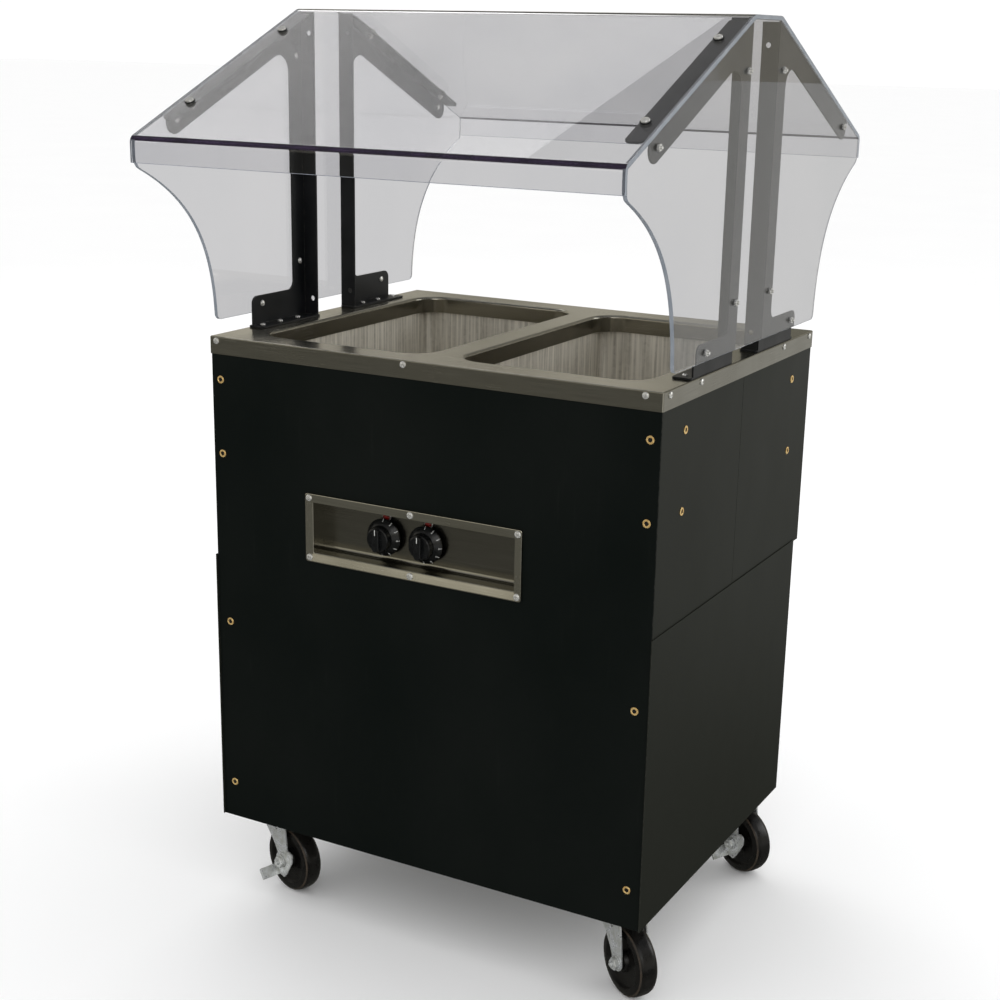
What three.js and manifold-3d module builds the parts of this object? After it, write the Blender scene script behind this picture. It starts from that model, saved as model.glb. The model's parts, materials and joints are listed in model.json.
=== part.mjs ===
// Two-well electric steam table on swivel casters, with a two-sided clear food guard.
// Millimetres. +X is the right-hand side seen from the controls, +Y the rear, +Z up.
// The origin is on the floor, under the middle of the worktop.

import * as THREE from 'three';
import { mergeVertices } from 'three/addons/utils/BufferGeometryUtils.js';
import Module from 'manifold-3d';

const wasm = await Module();
wasm.setup();

// ---------------------------------------------------------------- driving dimensions

const GAP = 0.3; // left between two separate pieces that touch on the real unit
const PAST = 5; // how far a cutting tool runs past the face it cuts
const SHEET = 1.5; // thickness of the cabinet's folded sheet

const WORKTOP = { width: 772, depth: 610, top: 955, apron: 18 };
const OPENING = { width: 305, depth: 508, corner: 45, pitch: 356, collar: 28 };
const LINER = { clearance: 1, wall: 1, corner: 12, depth: 196 };
const ELEMENT = {
  radius: 4, lift: 16, halfWidth: 95, front: -200, rear: 205, bend: 26, halfGap: 20, tail: 25,
};

const CABINET = { bottom: 139, seam: 595, lowerRear: 280, lap: 4, inset: 1.8 };
const SHELF = { top: 153.5, lip: 20 };
const POST_LEG = 32;

const CONTROL = { x: -16, z: 673, width: 356, height: 81, depth: 30, wall: 1.2, borderX: 13, borderZ: 14.5 };
const KNOB = {
  xs: { left: -78, right: -3 }, z: 671, skirt: 29.5, hub: 19.5, height: 21, grip: 27.5, lift: 8,
};
const SHAFT = { radius: 3, front: 12, back: 15 };
const SWITCH = { width: 38, depth: 30, height: 42, spade: 8 };
const PILOT = { z: 701.5, radius: 6, dome: 5.6, tail: 18 };
const CORD = { x: -250, z: 663, radius: 5, y: 345, low: 325, bend: 45, end: 559 };
const HOOK = { x: -150, z: 623, radius: 4, reach: 58, rise: 26, foot: 12 };

const GUARD = { sheet: 6, ridgeY: 54, ridgeZ: 1448, lipY: 465, lipZ: 1263, lipBottom: 1227, inner: 384.3 };
const PANEL = {
  footY: 286, footZ: 977, footCorner: 10, waistY: 345, waistZ: 1170, shoulderZ: 1217, tipZ: 1235,
};
const BRACKET = {
  outer: 384, plate: 3, post: 35, flange: 28, armEnd: -381, armWidth: 35, armFillet: 32, footEnd: -200,
  footHeight: 48, footFillet: 14, footCorner: 12, baseWidth: 30, baseMiddle: -129.5, baseLength: 159,
  railLength: 372, railCorner: 9, holeX: 366, holeRadius: 4, holes: [985, 1407],
};

const CASTER = { swivelX: 320, swivelY: 232, trail: 36, wheelRadius: 57, wheelWidth: 34, hub: 16 };
const PLATE = { length: 100, width: 84, corner: 8, thickness: 4, cup: 27, pin: 5, pinHead: 9 };
const FORK = { inner: 22, leg: 3, top: 136, raceTop: 139.7, halfTop: 26, tip: 13, slot: 15 };
const AXLE = { radius: 6, head: 10.5, nut: 7 };
const PEDAL = { thickness: 3, tab: 36 };

// ---------------------------------------------------------------- materials

function finish(color, roughness, metalness, opacity = 1) {
  return new THREE.MeshStandardMaterial({ color, roughness, metalness, opacity, transparent: opacity < 1 });
}

const STAINLESS = finish(0xb9b8b0, 0.3, 1);
const GALVANISED = finish(0x8c8a84, 0.5, 0.9);
const BLACK_STEEL = finish(0x16191a, 0.55, 0.2);
const BLACK_POWDER = finish(0x0e1012, 0.5, 0.1);
const ACRYLIC = finish(0xd5d6da, 0.05, 0, 0.3);
const ZINC = finish(0xc9ccce, 0.35, 1);
const RUBBER = finish(0x1b1c1d, 0.7, 0);
const PHENOLIC = finish(0x101112, 0.35, 0);
const RED_LENS = finish(0x8c1a14, 0.2, 0);
const HEATER_SHEATH = finish(0x4d4a46, 0.45, 0.9);
const SWITCH_MOULDING = finish(0x2b2a28, 0.6, 0);

// ---------------------------------------------------------------- building blocks

const unit = new THREE.Group();
unit.name = 'steam_table_unit';

function add(name, geometry, material, parent = unit) {
  const mesh = new THREE.Mesh(geometry, material);
  mesh.name = name;
  parent.add(mesh);
  return mesh;
}

function toSolid(geometry) {
  const bare = geometry.clone();
  bare.deleteAttribute('normal');
  bare.deleteAttribute('uv');
  const merged = mergeVertices(bare, 1e-4);
  return new wasm.Manifold(new wasm.Mesh({
    numProp: 3,
    vertProperties: new Float32Array(merged.attributes.position.array),
    triVerts: new Uint32Array(merged.index.array),
  }));
}

function toGeometry(solid) {
  const mesh = solid.getMesh();
  const geometry = new THREE.BufferGeometry();
  geometry.setAttribute('position', new THREE.BufferAttribute(mesh.vertProperties, 3));
  geometry.setIndex(new THREE.BufferAttribute(mesh.triVerts, 1));
  geometry.computeVertexNormals();
  return geometry;
}

function join(...geometries) {
  return toGeometry(geometries.map(toSolid).reduce((whole, next) => whole.add(next)));
}

function cut(geometry, ...tools) {
  return toGeometry(tools.map(toSolid).reduce((rest, tool) => rest.subtract(tool), toSolid(geometry)));
}

// A box between two opposite corners.
function box(one, other) {
  const low = new THREE.Vector3(...one).min(new THREE.Vector3(...other));
  const high = new THREE.Vector3(...one).max(new THREE.Vector3(...other));
  const size = high.clone().sub(low);
  return new THREE.BoxGeometry(...size).translate(...low.add(high).multiplyScalar(0.5));
}

// A solid cylinder from one point to another.
function rod(start, end, radius, sides = 12) {
  const from = new THREE.Vector3(...start);
  const along = new THREE.Vector3(...end).sub(from);
  const geometry = new THREE.CylinderGeometry(radius, radius, along.length(), sides);
  const turn = new THREE.Quaternion().setFromUnitVectors(new THREE.Vector3(0, 1, 0), along.clone().normalize());
  return geometry.applyQuaternion(turn).translate(...from.addScaledVector(along, 0.5));
}

// A turned body about Z, from pairs of radius and height that run upwards on the outside.
function turned(profile, sides) {
  const points = profile.map(([radius, height]) => new THREE.Vector2(radius, height));
  return new THREE.LatheGeometry(points, sides).rotateX(Math.PI / 2);
}

function roundedRectangle(width, height, corner, x = 0, y = 0) {
  const right = x + width / 2;
  const top = y + height / 2;
  const left = x - width / 2;
  const bottom = y - height / 2;
  const shape = new THREE.Shape();
  shape.moveTo(left + corner, bottom);
  shape.lineTo(right - corner, bottom);
  shape.absarc(right - corner, bottom + corner, corner, -Math.PI / 2, 0);
  shape.lineTo(right, top - corner);
  shape.absarc(right - corner, top - corner, corner, 0, Math.PI / 2);
  shape.lineTo(left + corner, top);
  shape.absarc(left + corner, top - corner, corner, Math.PI / 2, Math.PI);
  shape.lineTo(left, bottom + corner);
  shape.absarc(left + corner, bottom + corner, corner, Math.PI, Math.PI * 1.5);
  return shape;
}

function polygon(points) {
  return new THREE.Shape(points.map(([x, y]) => new THREE.Vector2(x, y)));
}

function extrude(shape, depth, curveSegments = 3) {
  return new THREE.ExtrudeGeometry(shape, { depth, curveSegments, bevelEnabled: false });
}

// A level plate: the outline is drawn in X and Y, and rises from z0 to z1.
function levelPlate(shape, z0, z1, curveSegments) {
  return extrude(shape, z1 - z0, curveSegments).translate(0, 0, z0);
}

// An upright plate across the unit: the outline is drawn in Y and Z, and runs from x0 to x1.
function sidePlate(shape, x0, x1, curveSegments) {
  const basis = new THREE.Matrix4().makeBasis(
    new THREE.Vector3(0, 1, 0), new THREE.Vector3(0, 0, 1), new THREE.Vector3(1, 0, 0),
  );
  return extrude(shape, x1 - x0, curveSegments).applyMatrix4(basis).translate(x0, 0, 0);
}

// An upright plate along the unit: the outline is drawn in X and Z, and runs from y0 to y1.
function facePlate(shape, y0, y1, curveSegments) {
  return extrude(shape, y1 - y0, curveSegments).rotateX(Math.PI / 2).translate(0, y1, 0);
}

// A round bar or cord through the points, with every corner eased into a bend.
function bentBar(points, bend, radius, steps, sides) {
  const corners = points.map((point) => new THREE.Vector3(...point));
  const path = new THREE.CurvePath();
  let from = corners[0];
  for (let i = 1; i < corners.length - 1; i += 1) {
    const back = corners[i - 1].clone().sub(corners[i]);
    const ahead = corners[i + 1].clone().sub(corners[i]);
    const reach = Math.min(bend, back.length() * 0.48, ahead.length() * 0.48);
    const enter = corners[i].clone().addScaledVector(back.normalize(), reach);
    const leave = corners[i].clone().addScaledVector(ahead.normalize(), reach);
    path.add(new THREE.LineCurve3(from, enter));
    path.add(new THREE.QuadraticBezierCurve3(enter, corners[i], leave));
    from = leave;
  }
  path.add(new THREE.LineCurve3(from, corners.at(-1)));
  const around = Array.from({ length: sides }, (_, i) => (i / sides) * Math.PI * 2);
  const section = polygon(around.map((angle) => [Math.cos(angle) * radius, Math.sin(angle) * radius]));
  return new THREE.ExtrudeGeometry(section, { steps, extrudePath: path, curveSegments: 1, bevelEnabled: false });
}

// ---------------------------------------------------------------- worktop and wells

const wellX = { left: -OPENING.pitch / 2, right: OPENING.pitch / 2 };
const halfWidth = WORKTOP.width / 2;
const halfDepth = WORKTOP.depth / 2;
const underside = WORKTOP.top - SHEET;

// One folded sheet: a flat top, an apron all round, and a turned-down collar round each opening.
function worktop() {
  const { top, apron } = WORKTOP;
  const { width, depth, corner, collar } = OPENING;
  const blank = box([-halfWidth, -halfDepth, top - apron], [halfWidth, halfDepth, top]);
  const hollow = box(
    [SHEET - halfWidth, SHEET - halfDepth, top - apron - PAST],
    [halfWidth - SHEET, halfDepth - SHEET, underside],
  );
  let sheet = toSolid(blank).subtract(toSolid(hollow));
  for (const x of Object.values(wellX)) {
    const outside = roundedRectangle(width + 2 * SHEET, depth + 2 * SHEET, corner + SHEET, x);
    const inside = roundedRectangle(width, depth, corner, x);
    sheet = sheet.add(toSolid(levelPlate(outside, top - collar, top)));
    sheet = sheet.subtract(toSolid(levelPlate(inside, top - collar - PAST, top + PAST)));
  }
  return toGeometry(sheet);
}

const linerTop = underside - GAP;
const linerFloor = linerTop - LINER.depth + LINER.wall;

// A folded galvanised tray, open at the top, with two holes for the element's ends.
function wellLiner(x) {
  const { clearance, wall, corner } = LINER;
  const width = OPENING.width + 2 * (SHEET + clearance);
  const depth = OPENING.depth + 2 * (SHEET + clearance);
  const outside = roundedRectangle(width + 2 * wall, depth + 2 * wall, corner + wall, x);
  const inside = roundedRectangle(width, depth, corner, x);
  const ports = [-1, 1].map((side) => rod(
    [x + side * ELEMENT.halfGap, ELEMENT.front, linerFloor - PAST],
    [x + side * ELEMENT.halfGap, ELEMENT.front, linerFloor + PAST],
    ELEMENT.radius + 2,
  ));
  return cut(
    levelPlate(outside, linerFloor - wall, linerTop),
    levelPlate(inside, linerFloor, linerTop + PAST),
    ...ports,
  );
}

// A tubular heater laid in a loop just above the liner's floor, its ends turned down through it.
function heatingElement(x) {
  const { radius, lift, halfWidth: reach, front, rear, bend, halfGap, tail } = ELEMENT;
  const z = linerFloor + lift;
  return bentBar([
    [x - halfGap, front, linerFloor - tail], [x - halfGap, front, z],
    [x - reach, front, z], [x - reach, rear, z], [x + reach, rear, z], [x + reach, front, z],
    [x + halfGap, front, z], [x + halfGap, front, linerFloor - tail],
  ], bend, radius, 44, 6);
}

// ---------------------------------------------------------------- cabinet

const panelX = halfWidth - CABINET.inset; // outer face of the upper side panels
const panelY = halfDepth - CABINET.inset; // outer face of the front panel and the rear upper panel
const panelTop = underside - GAP;
const boxHalfWidth = CONTROL.width / 2 + CONTROL.wall;
const boxHalfHeight = CONTROL.height / 2 + CONTROL.wall;

// The front panel covers the whole front and is cut out round the recessed control box.
function frontPanel() {
  const sheet = box([-panelX, -panelY, CABINET.bottom], [panelX, SHEET - panelY, panelTop]);
  const { x, z } = CONTROL;
  const window = box(
    [x - boxHalfWidth - GAP, -panelY - PAST, z - boxHalfHeight - GAP],
    [x + boxHalfWidth + GAP, -panelY + PAST, z + boxHalfHeight + GAP],
  );
  return cut(sheet, window);
}

// Two upper panels meet at mid depth. The lower one laps over them and over the front panel's edge.
function addSidePanels(side, sign) {
  const { bottom, seam, lap, lowerRear } = CABINET;
  const inner = sign * (panelX - SHEET);
  const outer = sign * panelX;
  const endY = panelY - SHEET - GAP;
  const lapInner = sign * (panelX + GAP);
  const lapOuter = sign * (panelX + GAP + SHEET);
  add(`side_panel_${side}_upper_front`, box([inner, -endY, seam], [outer, -GAP, panelTop]), BLACK_STEEL);
  add(`side_panel_${side}_upper_rear`, box([inner, GAP, seam], [outer, endY, panelTop]), BLACK_STEEL);
  const lower = box([lapInner, -halfDepth - SHEET, bottom], [lapOuter, lowerRear, seam + lap]);
  add(`side_panel_${side}_lower`, lower, BLACK_STEEL);
}

const lowerRearFace = CABINET.lowerRear - 0.5;

// The rear upper panel ends in a ledge turned forward over the top of the lower panel.
function rearUpperPanel() {
  const { seam } = CABINET;
  const sheet = box([-panelX, panelY - SHEET, seam], [panelX, panelY, panelTop]);
  const ledgeX = panelX - SHEET - GAP;
  const ledge = box([-ledgeX, lowerRearFace - SHEET, seam], [ledgeX, panelY - SHEET / 2, seam + SHEET]);
  return join(sheet, ledge);
}

function rearLowerPanel() {
  const { bottom, seam } = CABINET;
  return box([GAP - panelX, lowerRearFace - SHEET, bottom], [panelX - GAP, lowerRearFace, seam - GAP]);
}

const shelfX = panelX - SHEET - GAP;
const shelfFront = SHEET + GAP - panelY;
const shelfRear = lowerRearFace - SHEET - GAP;

// The base shelf is a shallow tray that carries the casters underneath.
function baseShelf() {
  const { top, lip } = SHELF;
  return cut(
    box([-shelfX, shelfFront, top - SHEET], [shelfX, shelfRear, top + lip]),
    box([SHEET - shelfX, shelfFront + SHEET, top], [shelfX - SHEET, shelfRear - SHEET, top + lip + PAST]),
  );
}

// Angle section posts stand in the shelf's corners and carry the worktop.
function cornerPost(signX, signY) {
  const x = signX * (shelfX - SHEET - GAP);
  const y = signY < 0 ? shelfFront + SHEET + GAP : shelfRear - SHEET - GAP;
  const z = SHELF.top + GAP;
  return join(
    box([x, y, z], [x - signX * POST_LEG, y - signY * SHEET, panelTop]),
    box([x, y, z], [x - signX * SHEET, y - signY * POST_LEG, panelTop]),
  );
}

// ---------------------------------------------------------------- controls

const boxBack = CONTROL.depth - panelY; // front face of the control box's back wall
const knobBack = boxBack - KNOB.lift;

// An open-fronted stainless box set into the front panel, drilled for the shafts and the pilot lights.
function controlBox() {
  const { x, z, width, height, wall } = CONTROL;
  const drills = Object.values(KNOB.xs).flatMap((knobX) => [
    rod([knobX, boxBack - PAST, KNOB.z], [knobX, boxBack + PAST, KNOB.z], SHAFT.radius + 1),
    rod([knobX, boxBack - PAST, PILOT.z], [knobX, boxBack + PAST, PILOT.z], PILOT.radius + GAP),
  ]);
  return cut(
    box([x - boxHalfWidth, -panelY, z - boxHalfHeight], [x + boxHalfWidth, boxBack + wall, z + boxHalfHeight]),
    box([x - width / 2, -panelY - PAST, z - height / 2], [x + width / 2, boxBack, z + height / 2]),
    ...drills,
  );
}

function controlBezel() {
  const { x, z, width, height, borderX, borderZ, wall } = CONTROL;
  const rim = roundedRectangle(width + 2 * borderX, height + 2 * borderZ, 4, x, z);
  rim.holes.push(roundedRectangle(width, height, 1, x, z));
  return facePlate(rim, -panelY - GAP - wall, -panelY - GAP, 1);
}

// The knob has a numbered skirt, a round hub and a raised finger grip across its face.
function knob(x) {
  const { skirt, hub, height, grip } = KNOB;
  const gripHalfWidth = 6;
  const body = turned([
    [0, 0], [skirt, 0], [skirt, 3], [skirt - 6, 8], [hub + 0.5, 9.5], [hub, height - 2], [hub - 2, height],
    [0, height],
  ], 24);
  const bar = box([-gripHalfWidth, 1 - hub, height / 2], [gripHalfWidth, hub - 1, grip]);
  const bore = rod([0, 0, -1], [0, 0, SHAFT.front + 2], SHAFT.radius + GAP);
  return cut(join(body, bar), bore).rotateX(Math.PI / 2).translate(x, knobBack, KNOB.z);
}

// The infinite-control switch sits behind the box, with four spade terminals and a bore for its shaft.
function infiniteSwitch(x) {
  const { width, depth, height, spade } = SWITCH;
  const front = boxBack + CONTROL.wall + GAP;
  const back = front + depth;
  const body = box([x - width / 2, front, KNOB.z - height / 2], [x + width / 2, back, KNOB.z + height / 2]);
  const spades = [-12, -4, 4, 12].map((dx) => box(
    [x + dx - 0.6, back - 1, KNOB.z - 12], [x + dx + 0.6, back + spade, KNOB.z - 5],
  ));
  const bore = rod([x, front - 1, KNOB.z], [x, boxBack + SHAFT.back + 2, KNOB.z], SHAFT.radius + GAP);
  return cut(join(body, ...spades), bore);
}

function switchShaft(x) {
  return rod([x, knobBack - SHAFT.front, KNOB.z], [x, boxBack + SHAFT.back, KNOB.z], SHAFT.radius);
}

// A domed lens on a short barrel that passes through the box's back wall.
function pilotLight(x) {
  const { radius, dome, tail } = PILOT;
  const lens = turned([
    [0, -tail], [radius - 0.6, -tail], [radius - 0.6, -1.5], [radius, -1.5], [radius, dome - 3],
    [radius * 0.75, dome - 1], [radius * 0.35, dome - 0.2], [0, dome],
  ], 12);
  return lens.rotateX(Math.PI / 2).translate(x, boxBack, PILOT.z);
}

// ---------------------------------------------------------------- power cord on the rear panel

// A flanged strain relief round the cord.
function cordGrip() {
  const body = turned([[0, 0], [15, 0], [15, 5], [11, 6], [9.5, 22], [0, 22]], 16);
  const bore = rod([0, 0, -PAST], [0, 0, 40], CORD.radius + GAP);
  return cut(body, bore).rotateX(-Math.PI / 2).translate(CORD.x, panelY + GAP, CORD.z);
}

const hangX = HOOK.x + 24; // where the cord comes down again, past the hook

// The cord leaves the grip, hangs in one loop and passes over the hook with its plug hanging down.
function powerCord() {
  const { x, z, radius, y, low, bend, end } = CORD;
  const over = HOOK.z + 22;
  return bentBar([
    [x, panelY + 6, z], [x, y, z], [x - 4, y, low], [HOOK.x - 24, y, low],
    [HOOK.x - 24, y, over], [hangX, y, over], [hangX, y, end],
  ], bend, radius, 40, 7);
}

function cordHook() {
  const { x, z, radius, reach, rise, foot } = HOOK;
  const bar = bentBar([
    [x, panelY + 2, z], [x, panelY + reach, z], [x, panelY + reach, z + rise],
  ], 10, radius, 8, 6);
  return join(bar, box([x - foot, panelY + GAP, z - foot - 4], [x + foot, panelY + 3, z + foot + 4]));
}

// A moulded three-pin plug hanging from the end of the cord.
function powerPlug() {
  const flats = [-6.5, 6.5].map((dx) => box([dx - 0.8, -6, -55], [dx + 0.8, 1, -37]));
  const ground = rod([0, 7, -58], [0, 7, -37], 2.4, 8);
  const body = turned([[0, -38], [16, -38], [8, 0], [0, 0]], 14);
  return join(body, ...flats, ground).translate(hangX, CORD.y, CORD.end - GAP);
}

// ---------------------------------------------------------------- food guard

const slope = (GUARD.ridgeZ - GUARD.lipZ) / (GUARD.lipY - GUARD.ridgeY);
const slopeAngle = Math.atan(slope);

// Height of the canopy's underside at a distance y from the middle, less a running gap.
function under(y, gap = GAP) {
  const drop = GUARD.sheet / Math.cos(slopeAngle);
  return GUARD.ridgeZ - drop - slope * (Math.abs(y) - GUARD.ridgeY) - gap;
}

// The canopy is one clear sheet: a flat ridge, two slopes and two short upright lips.
function canopy() {
  const { ridgeY, ridgeZ, lipY, lipZ, lipBottom, sheet, inner } = GUARD;
  const innerLip = lipY - sheet;
  const innerRidge = ridgeY - sheet * Math.tan(slopeAngle / 2);
  const right = [
    [ridgeY, ridgeZ], [lipY, lipZ], [lipY, lipBottom], [innerLip, lipBottom],
    [innerLip, under(innerLip, 0)], [innerRidge, ridgeZ - sheet],
  ];
  const left = right.map(([y, z]) => [-y, z]).reverse();
  const halfLength = inner + sheet + GAP;
  return sidePlate(polygon([...right, ...left]), -halfLength, halfLength);
}

// A side panel fills the end under the canopy and sweeps in to a narrow foot just above the worktop.
function guardPanel(sign) {
  const { sheet, inner, ridgeY, ridgeZ, lipY } = GUARD;
  const { footY, footZ, footCorner, waistY, waistZ, shoulderZ, tipZ } = PANEL;
  const tip = lipY - sheet - GAP;
  const ridge = ridgeZ - sheet - GAP;
  const bend = ridgeY - sheet * Math.tan(slopeAngle / 2);
  const shape = new THREE.Shape();
  shape.moveTo(footCorner - footY, footZ);
  shape.lineTo(footY - footCorner, footZ);
  shape.absarc(footY - footCorner, footZ + footCorner, footCorner, -Math.PI / 2, 0);
  shape.bezierCurveTo(footY + 6, footZ + 128, waistY, waistZ, tip - 10, shoulderZ);
  shape.quadraticCurveTo(tip, shoulderZ + 5, tip, tipZ);
  shape.lineTo(tip, under(tip));
  shape.lineTo(bend, ridge);
  shape.lineTo(-bend, ridge);
  shape.lineTo(-tip, under(tip));
  shape.lineTo(-tip, tipZ);
  shape.quadraticCurveTo(-tip, shoulderZ + 5, 10 - tip, shoulderZ);
  shape.bezierCurveTo(-waistY, waistZ, -footY - 6, footZ + 128, -footY, footZ + footCorner);
  shape.absarc(footCorner - footY, footZ + footCorner, footCorner, Math.PI, Math.PI * 1.5);
  const middle = sign * (inner + sheet / 2);
  return sidePlate(shape, middle - sheet / 2, middle + sheet / 2, 8);
}

const bracketBase = WORKTOP.top + GAP;
const postInner = -GUARD.ridgeY;

// The bracket's web: a foot, a post and an arm that follows the slope, cut from one plate.
function bracketWeb() {
  const { outer, plate, post, armEnd, armWidth, armFillet, footEnd } = BRACKET;
  const { footHeight, footFillet, footCorner } = BRACKET;
  const postOuter = postInner - post;
  const footTop = bracketBase + footHeight;
  const down = new THREE.Vector2(Math.sin(slopeAngle), -Math.cos(slopeAngle));
  const end = new THREE.Vector2(armEnd, under(armEnd));
  const cap = end.clone().addScaledVector(down, armWidth / 2);
  const below = end.clone().addScaledVector(down, armWidth);
  const armUnder = (y) => below.y + slope * (y - below.x);
  const capStart = Math.PI / 2 + slopeAngle;
  const outline = new THREE.Shape();
  outline.moveTo(postInner, bracketBase);
  outline.lineTo(postInner, under(postInner));
  outline.lineTo(end.x, end.y);
  outline.absarc(cap.x, cap.y, armWidth / 2, capStart, capStart + Math.PI);
  outline.lineTo(postOuter - armFillet, armUnder(postOuter - armFillet));
  outline.quadraticCurveTo(postOuter, armUnder(postOuter), postOuter, armUnder(postOuter) - armFillet);
  outline.lineTo(postOuter, footTop + footFillet);
  outline.quadraticCurveTo(postOuter, footTop, postOuter - footFillet, footTop);
  outline.lineTo(footEnd + footCorner, footTop);
  outline.quadraticCurveTo(footEnd, footTop, footEnd, footTop - footCorner);
  outline.lineTo(footEnd, bracketBase);
  return sidePlate(outline, outer - plate, outer, 4);
}

// The flange that lies along the arm under the canopy.
function bracketRail() {
  const { outer, plate, flange, railLength, railCorner } = BRACKET;
  const strip = roundedRectangle(flange, railLength, railCorner, outer - flange / 2, railLength / 2 + railCorner);
  const alongSlope = new THREE.Matrix4().makeBasis(
    new THREE.Vector3(1, 0, 0),
    new THREE.Vector3(0, -Math.cos(slopeAngle), -Math.sin(slopeAngle)),
    new THREE.Vector3(0, Math.sin(slopeAngle), -Math.cos(slopeAngle)),
  ).setPosition(0, postInner, under(postInner));
  return extrude(strip, plate, 1).applyMatrix4(alongSlope);
}

// The front right bracket: its web, and three flanges turned inward at the base, the post and the arm.
function guardBracket() {
  const { outer, plate, flange, baseWidth, baseMiddle, baseLength, holeX, holeRadius, holes } = BRACKET;
  const base = levelPlate(
    roundedRectangle(baseWidth, baseLength, 5, outer - baseWidth / 2, baseMiddle),
    bracketBase, bracketBase + plate, 1,
  );
  const upright = box(
    [outer - flange, postInner - plate, bracketBase], [outer, postInner, under(postInner) - plate / 2],
  );
  const drills = holes.map((z) => rod(
    [holeX, postInner - PAST, z], [holeX, postInner + PAST, z], holeRadius, 10,
  ));
  return cut(join(bracketWeb(), base, upright, bracketRail()), ...drills);
}

// ---------------------------------------------------------------- casters

const legOuter = FORK.inner + FORK.leg;

// The fixed top plate, its bearing cup and the riveted kingpin that holds the fork.
function casterPlate() {
  const { length, width, corner, thickness, cup, pin, pinHead } = PLATE;
  const top = SHELF.top - SHEET - GAP;
  const pinFoot = FORK.top - 9;
  return join(
    levelPlate(roundedRectangle(length, width, corner), top - thickness, top, 1),
    rod([0, 0, FORK.raceTop + GAP], [0, 0, top - 1], cup, 20),
    rod([0, 0, pinFoot], [0, 0, top - 1], pin),
    rod([0, 0, pinFoot], [0, 0, pinFoot + 5], pinHead),
  );
}

// One leg of the fork tapers back and down from the swivel to the axle.
function forkLeg(side) {
  const { trail, wheelRadius } = CASTER;
  const { inner, leg, top, halfTop, tip, slot } = FORK;
  const outline = new THREE.Shape();
  outline.moveTo(1 - halfTop, top);
  outline.lineTo(1 - halfTop, top - 12);
  outline.quadraticCurveTo(-8, top - 32, trail - tip, wheelRadius);
  outline.absarc(trail, wheelRadius, tip, Math.PI, Math.PI * 2);
  outline.quadraticCurveTo(trail + 11, top - 30, trail + 3, top);
  const axleHole = new THREE.Path();
  axleHole.absarc(trail, wheelRadius, AXLE.radius + GAP, 0, Math.PI);
  axleHole.absarc(trail, wheelRadius, AXLE.radius + GAP, Math.PI, Math.PI * 2);
  outline.holes.push(roundedRectangle(5, slot, 2, 18, top - 18), axleHole);
  const near = side < 0 ? -legOuter : inner;
  return facePlate(outline, near, near + leg, 4);
}

// A pressed fork: two legs, the bridge that joins them and the lower bearing race.
function casterFork() {
  const { leg, top, raceTop, halfTop } = FORK;
  const bridge = box([1 - halfTop, -legOuter, top - leg], [1 + halfTop, legOuter, top]);
  const race = rod([0, 0, top - 2], [0, 0, raceTop], PLATE.cup - 1, 20);
  const pinHole = rod([0, 0, top - 10], [0, 0, raceTop + PAST], PLATE.pin + 0.6);
  return cut(join(forkLeg(-1), forkLeg(1), bridge, race), pinHole);
}

// A moulded wheel with a dished face, rounded shoulders and a wider hub.
function casterWheel() {
  const { wheelRadius: rim, wheelWidth, hub } = CASTER;
  const half = wheelWidth / 2;
  const bore = AXLE.radius + 0.35;
  const side = [
    [bore, half + 2.5], [hub, half + 2.5], [hub + 1, half - 6], [rim - 18, half - 6], [rim - 13, half],
    [rim - 3, half - 3], [rim, half - 9],
  ];
  const other = side.map(([radius, height]) => [radius, -height]).reverse();
  return turned([...side, ...other, side[0]].reverse(), 24).rotateX(Math.PI / 2);
}

// The axle bolt with its hexagon head and nut.
function casterAxle(reach) {
  const { radius, head, nut } = AXLE;
  const nutEnd = -legOuter - reach;
  return join(
    rod([0, nutEnd, 0], [0, legOuter + 6, 0], radius),
    rod([0, legOuter + GAP, 0], [0, legOuter + 6, 0], head, 6),
    rod([0, nutEnd + nut / 3, 0], [0, nutEnd - nut, 0], head, 6),
  );
}

// A pressed side brake: a plate that turns on the axle, with a foot tab bent outward.
function brakePedal() {
  const near = -legOuter - GAP;
  const plate = facePlate(polygon([
    [-15, 5], [-8, 14], [7, 15], [20, 24], [28, 22], [30, 13], [21, -2], [14, -20], [6, -27], [-4, -25], [-15, -9],
  ]), near - PEDAL.thickness, near);
  const tab = facePlate(polygon([[-15, -9], [-4, -25], [-8, -28], [-19, -12]]), near - PEDAL.tab, near - GAP);
  const hole = rod([0, near - PAST, 0], [0, near + PAST, 0], AXLE.radius + GAP, 16);
  return cut(join(plate, tab), hole);
}

// Each caster is placed as a group at its swivel, and everything under its plate turns with the heading.
function addCaster(corner, signX, signY, heading, braked) {
  const mount = new THREE.Group();
  mount.position.set(signX * CASTER.swivelX, signY * CASTER.swivelY, 0);
  const swivel = new THREE.Group();
  swivel.rotation.z = THREE.MathUtils.degToRad(heading);
  const hub = new THREE.Group();
  hub.position.set(CASTER.trail, 0, CASTER.wheelRadius);
  unit.add(mount);
  mount.add(swivel);
  swivel.add(hub);
  add(`caster_plate_${corner}`, casterPlate(), ZINC, mount);
  add(`caster_fork_${corner}`, casterFork(), ZINC, swivel);
  add(`caster_wheel_${corner}`, casterWheel(), RUBBER, hub);
  add(`caster_axle_${corner}`, casterAxle(braked ? PEDAL.thickness + 3 : 2.4), ZINC, hub);
  if (braked) add(`brake_pedal_${corner}`, brakePedal(), ZINC, hub);
}

// ---------------------------------------------------------------- assembly

add('worktop', worktop(), STAINLESS);
for (const [side, x] of Object.entries(wellX)) {
  add(`well_liner_${side}`, wellLiner(x), GALVANISED);
  add(`heating_element_${side}`, heatingElement(x), HEATER_SHEATH);
}

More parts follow.
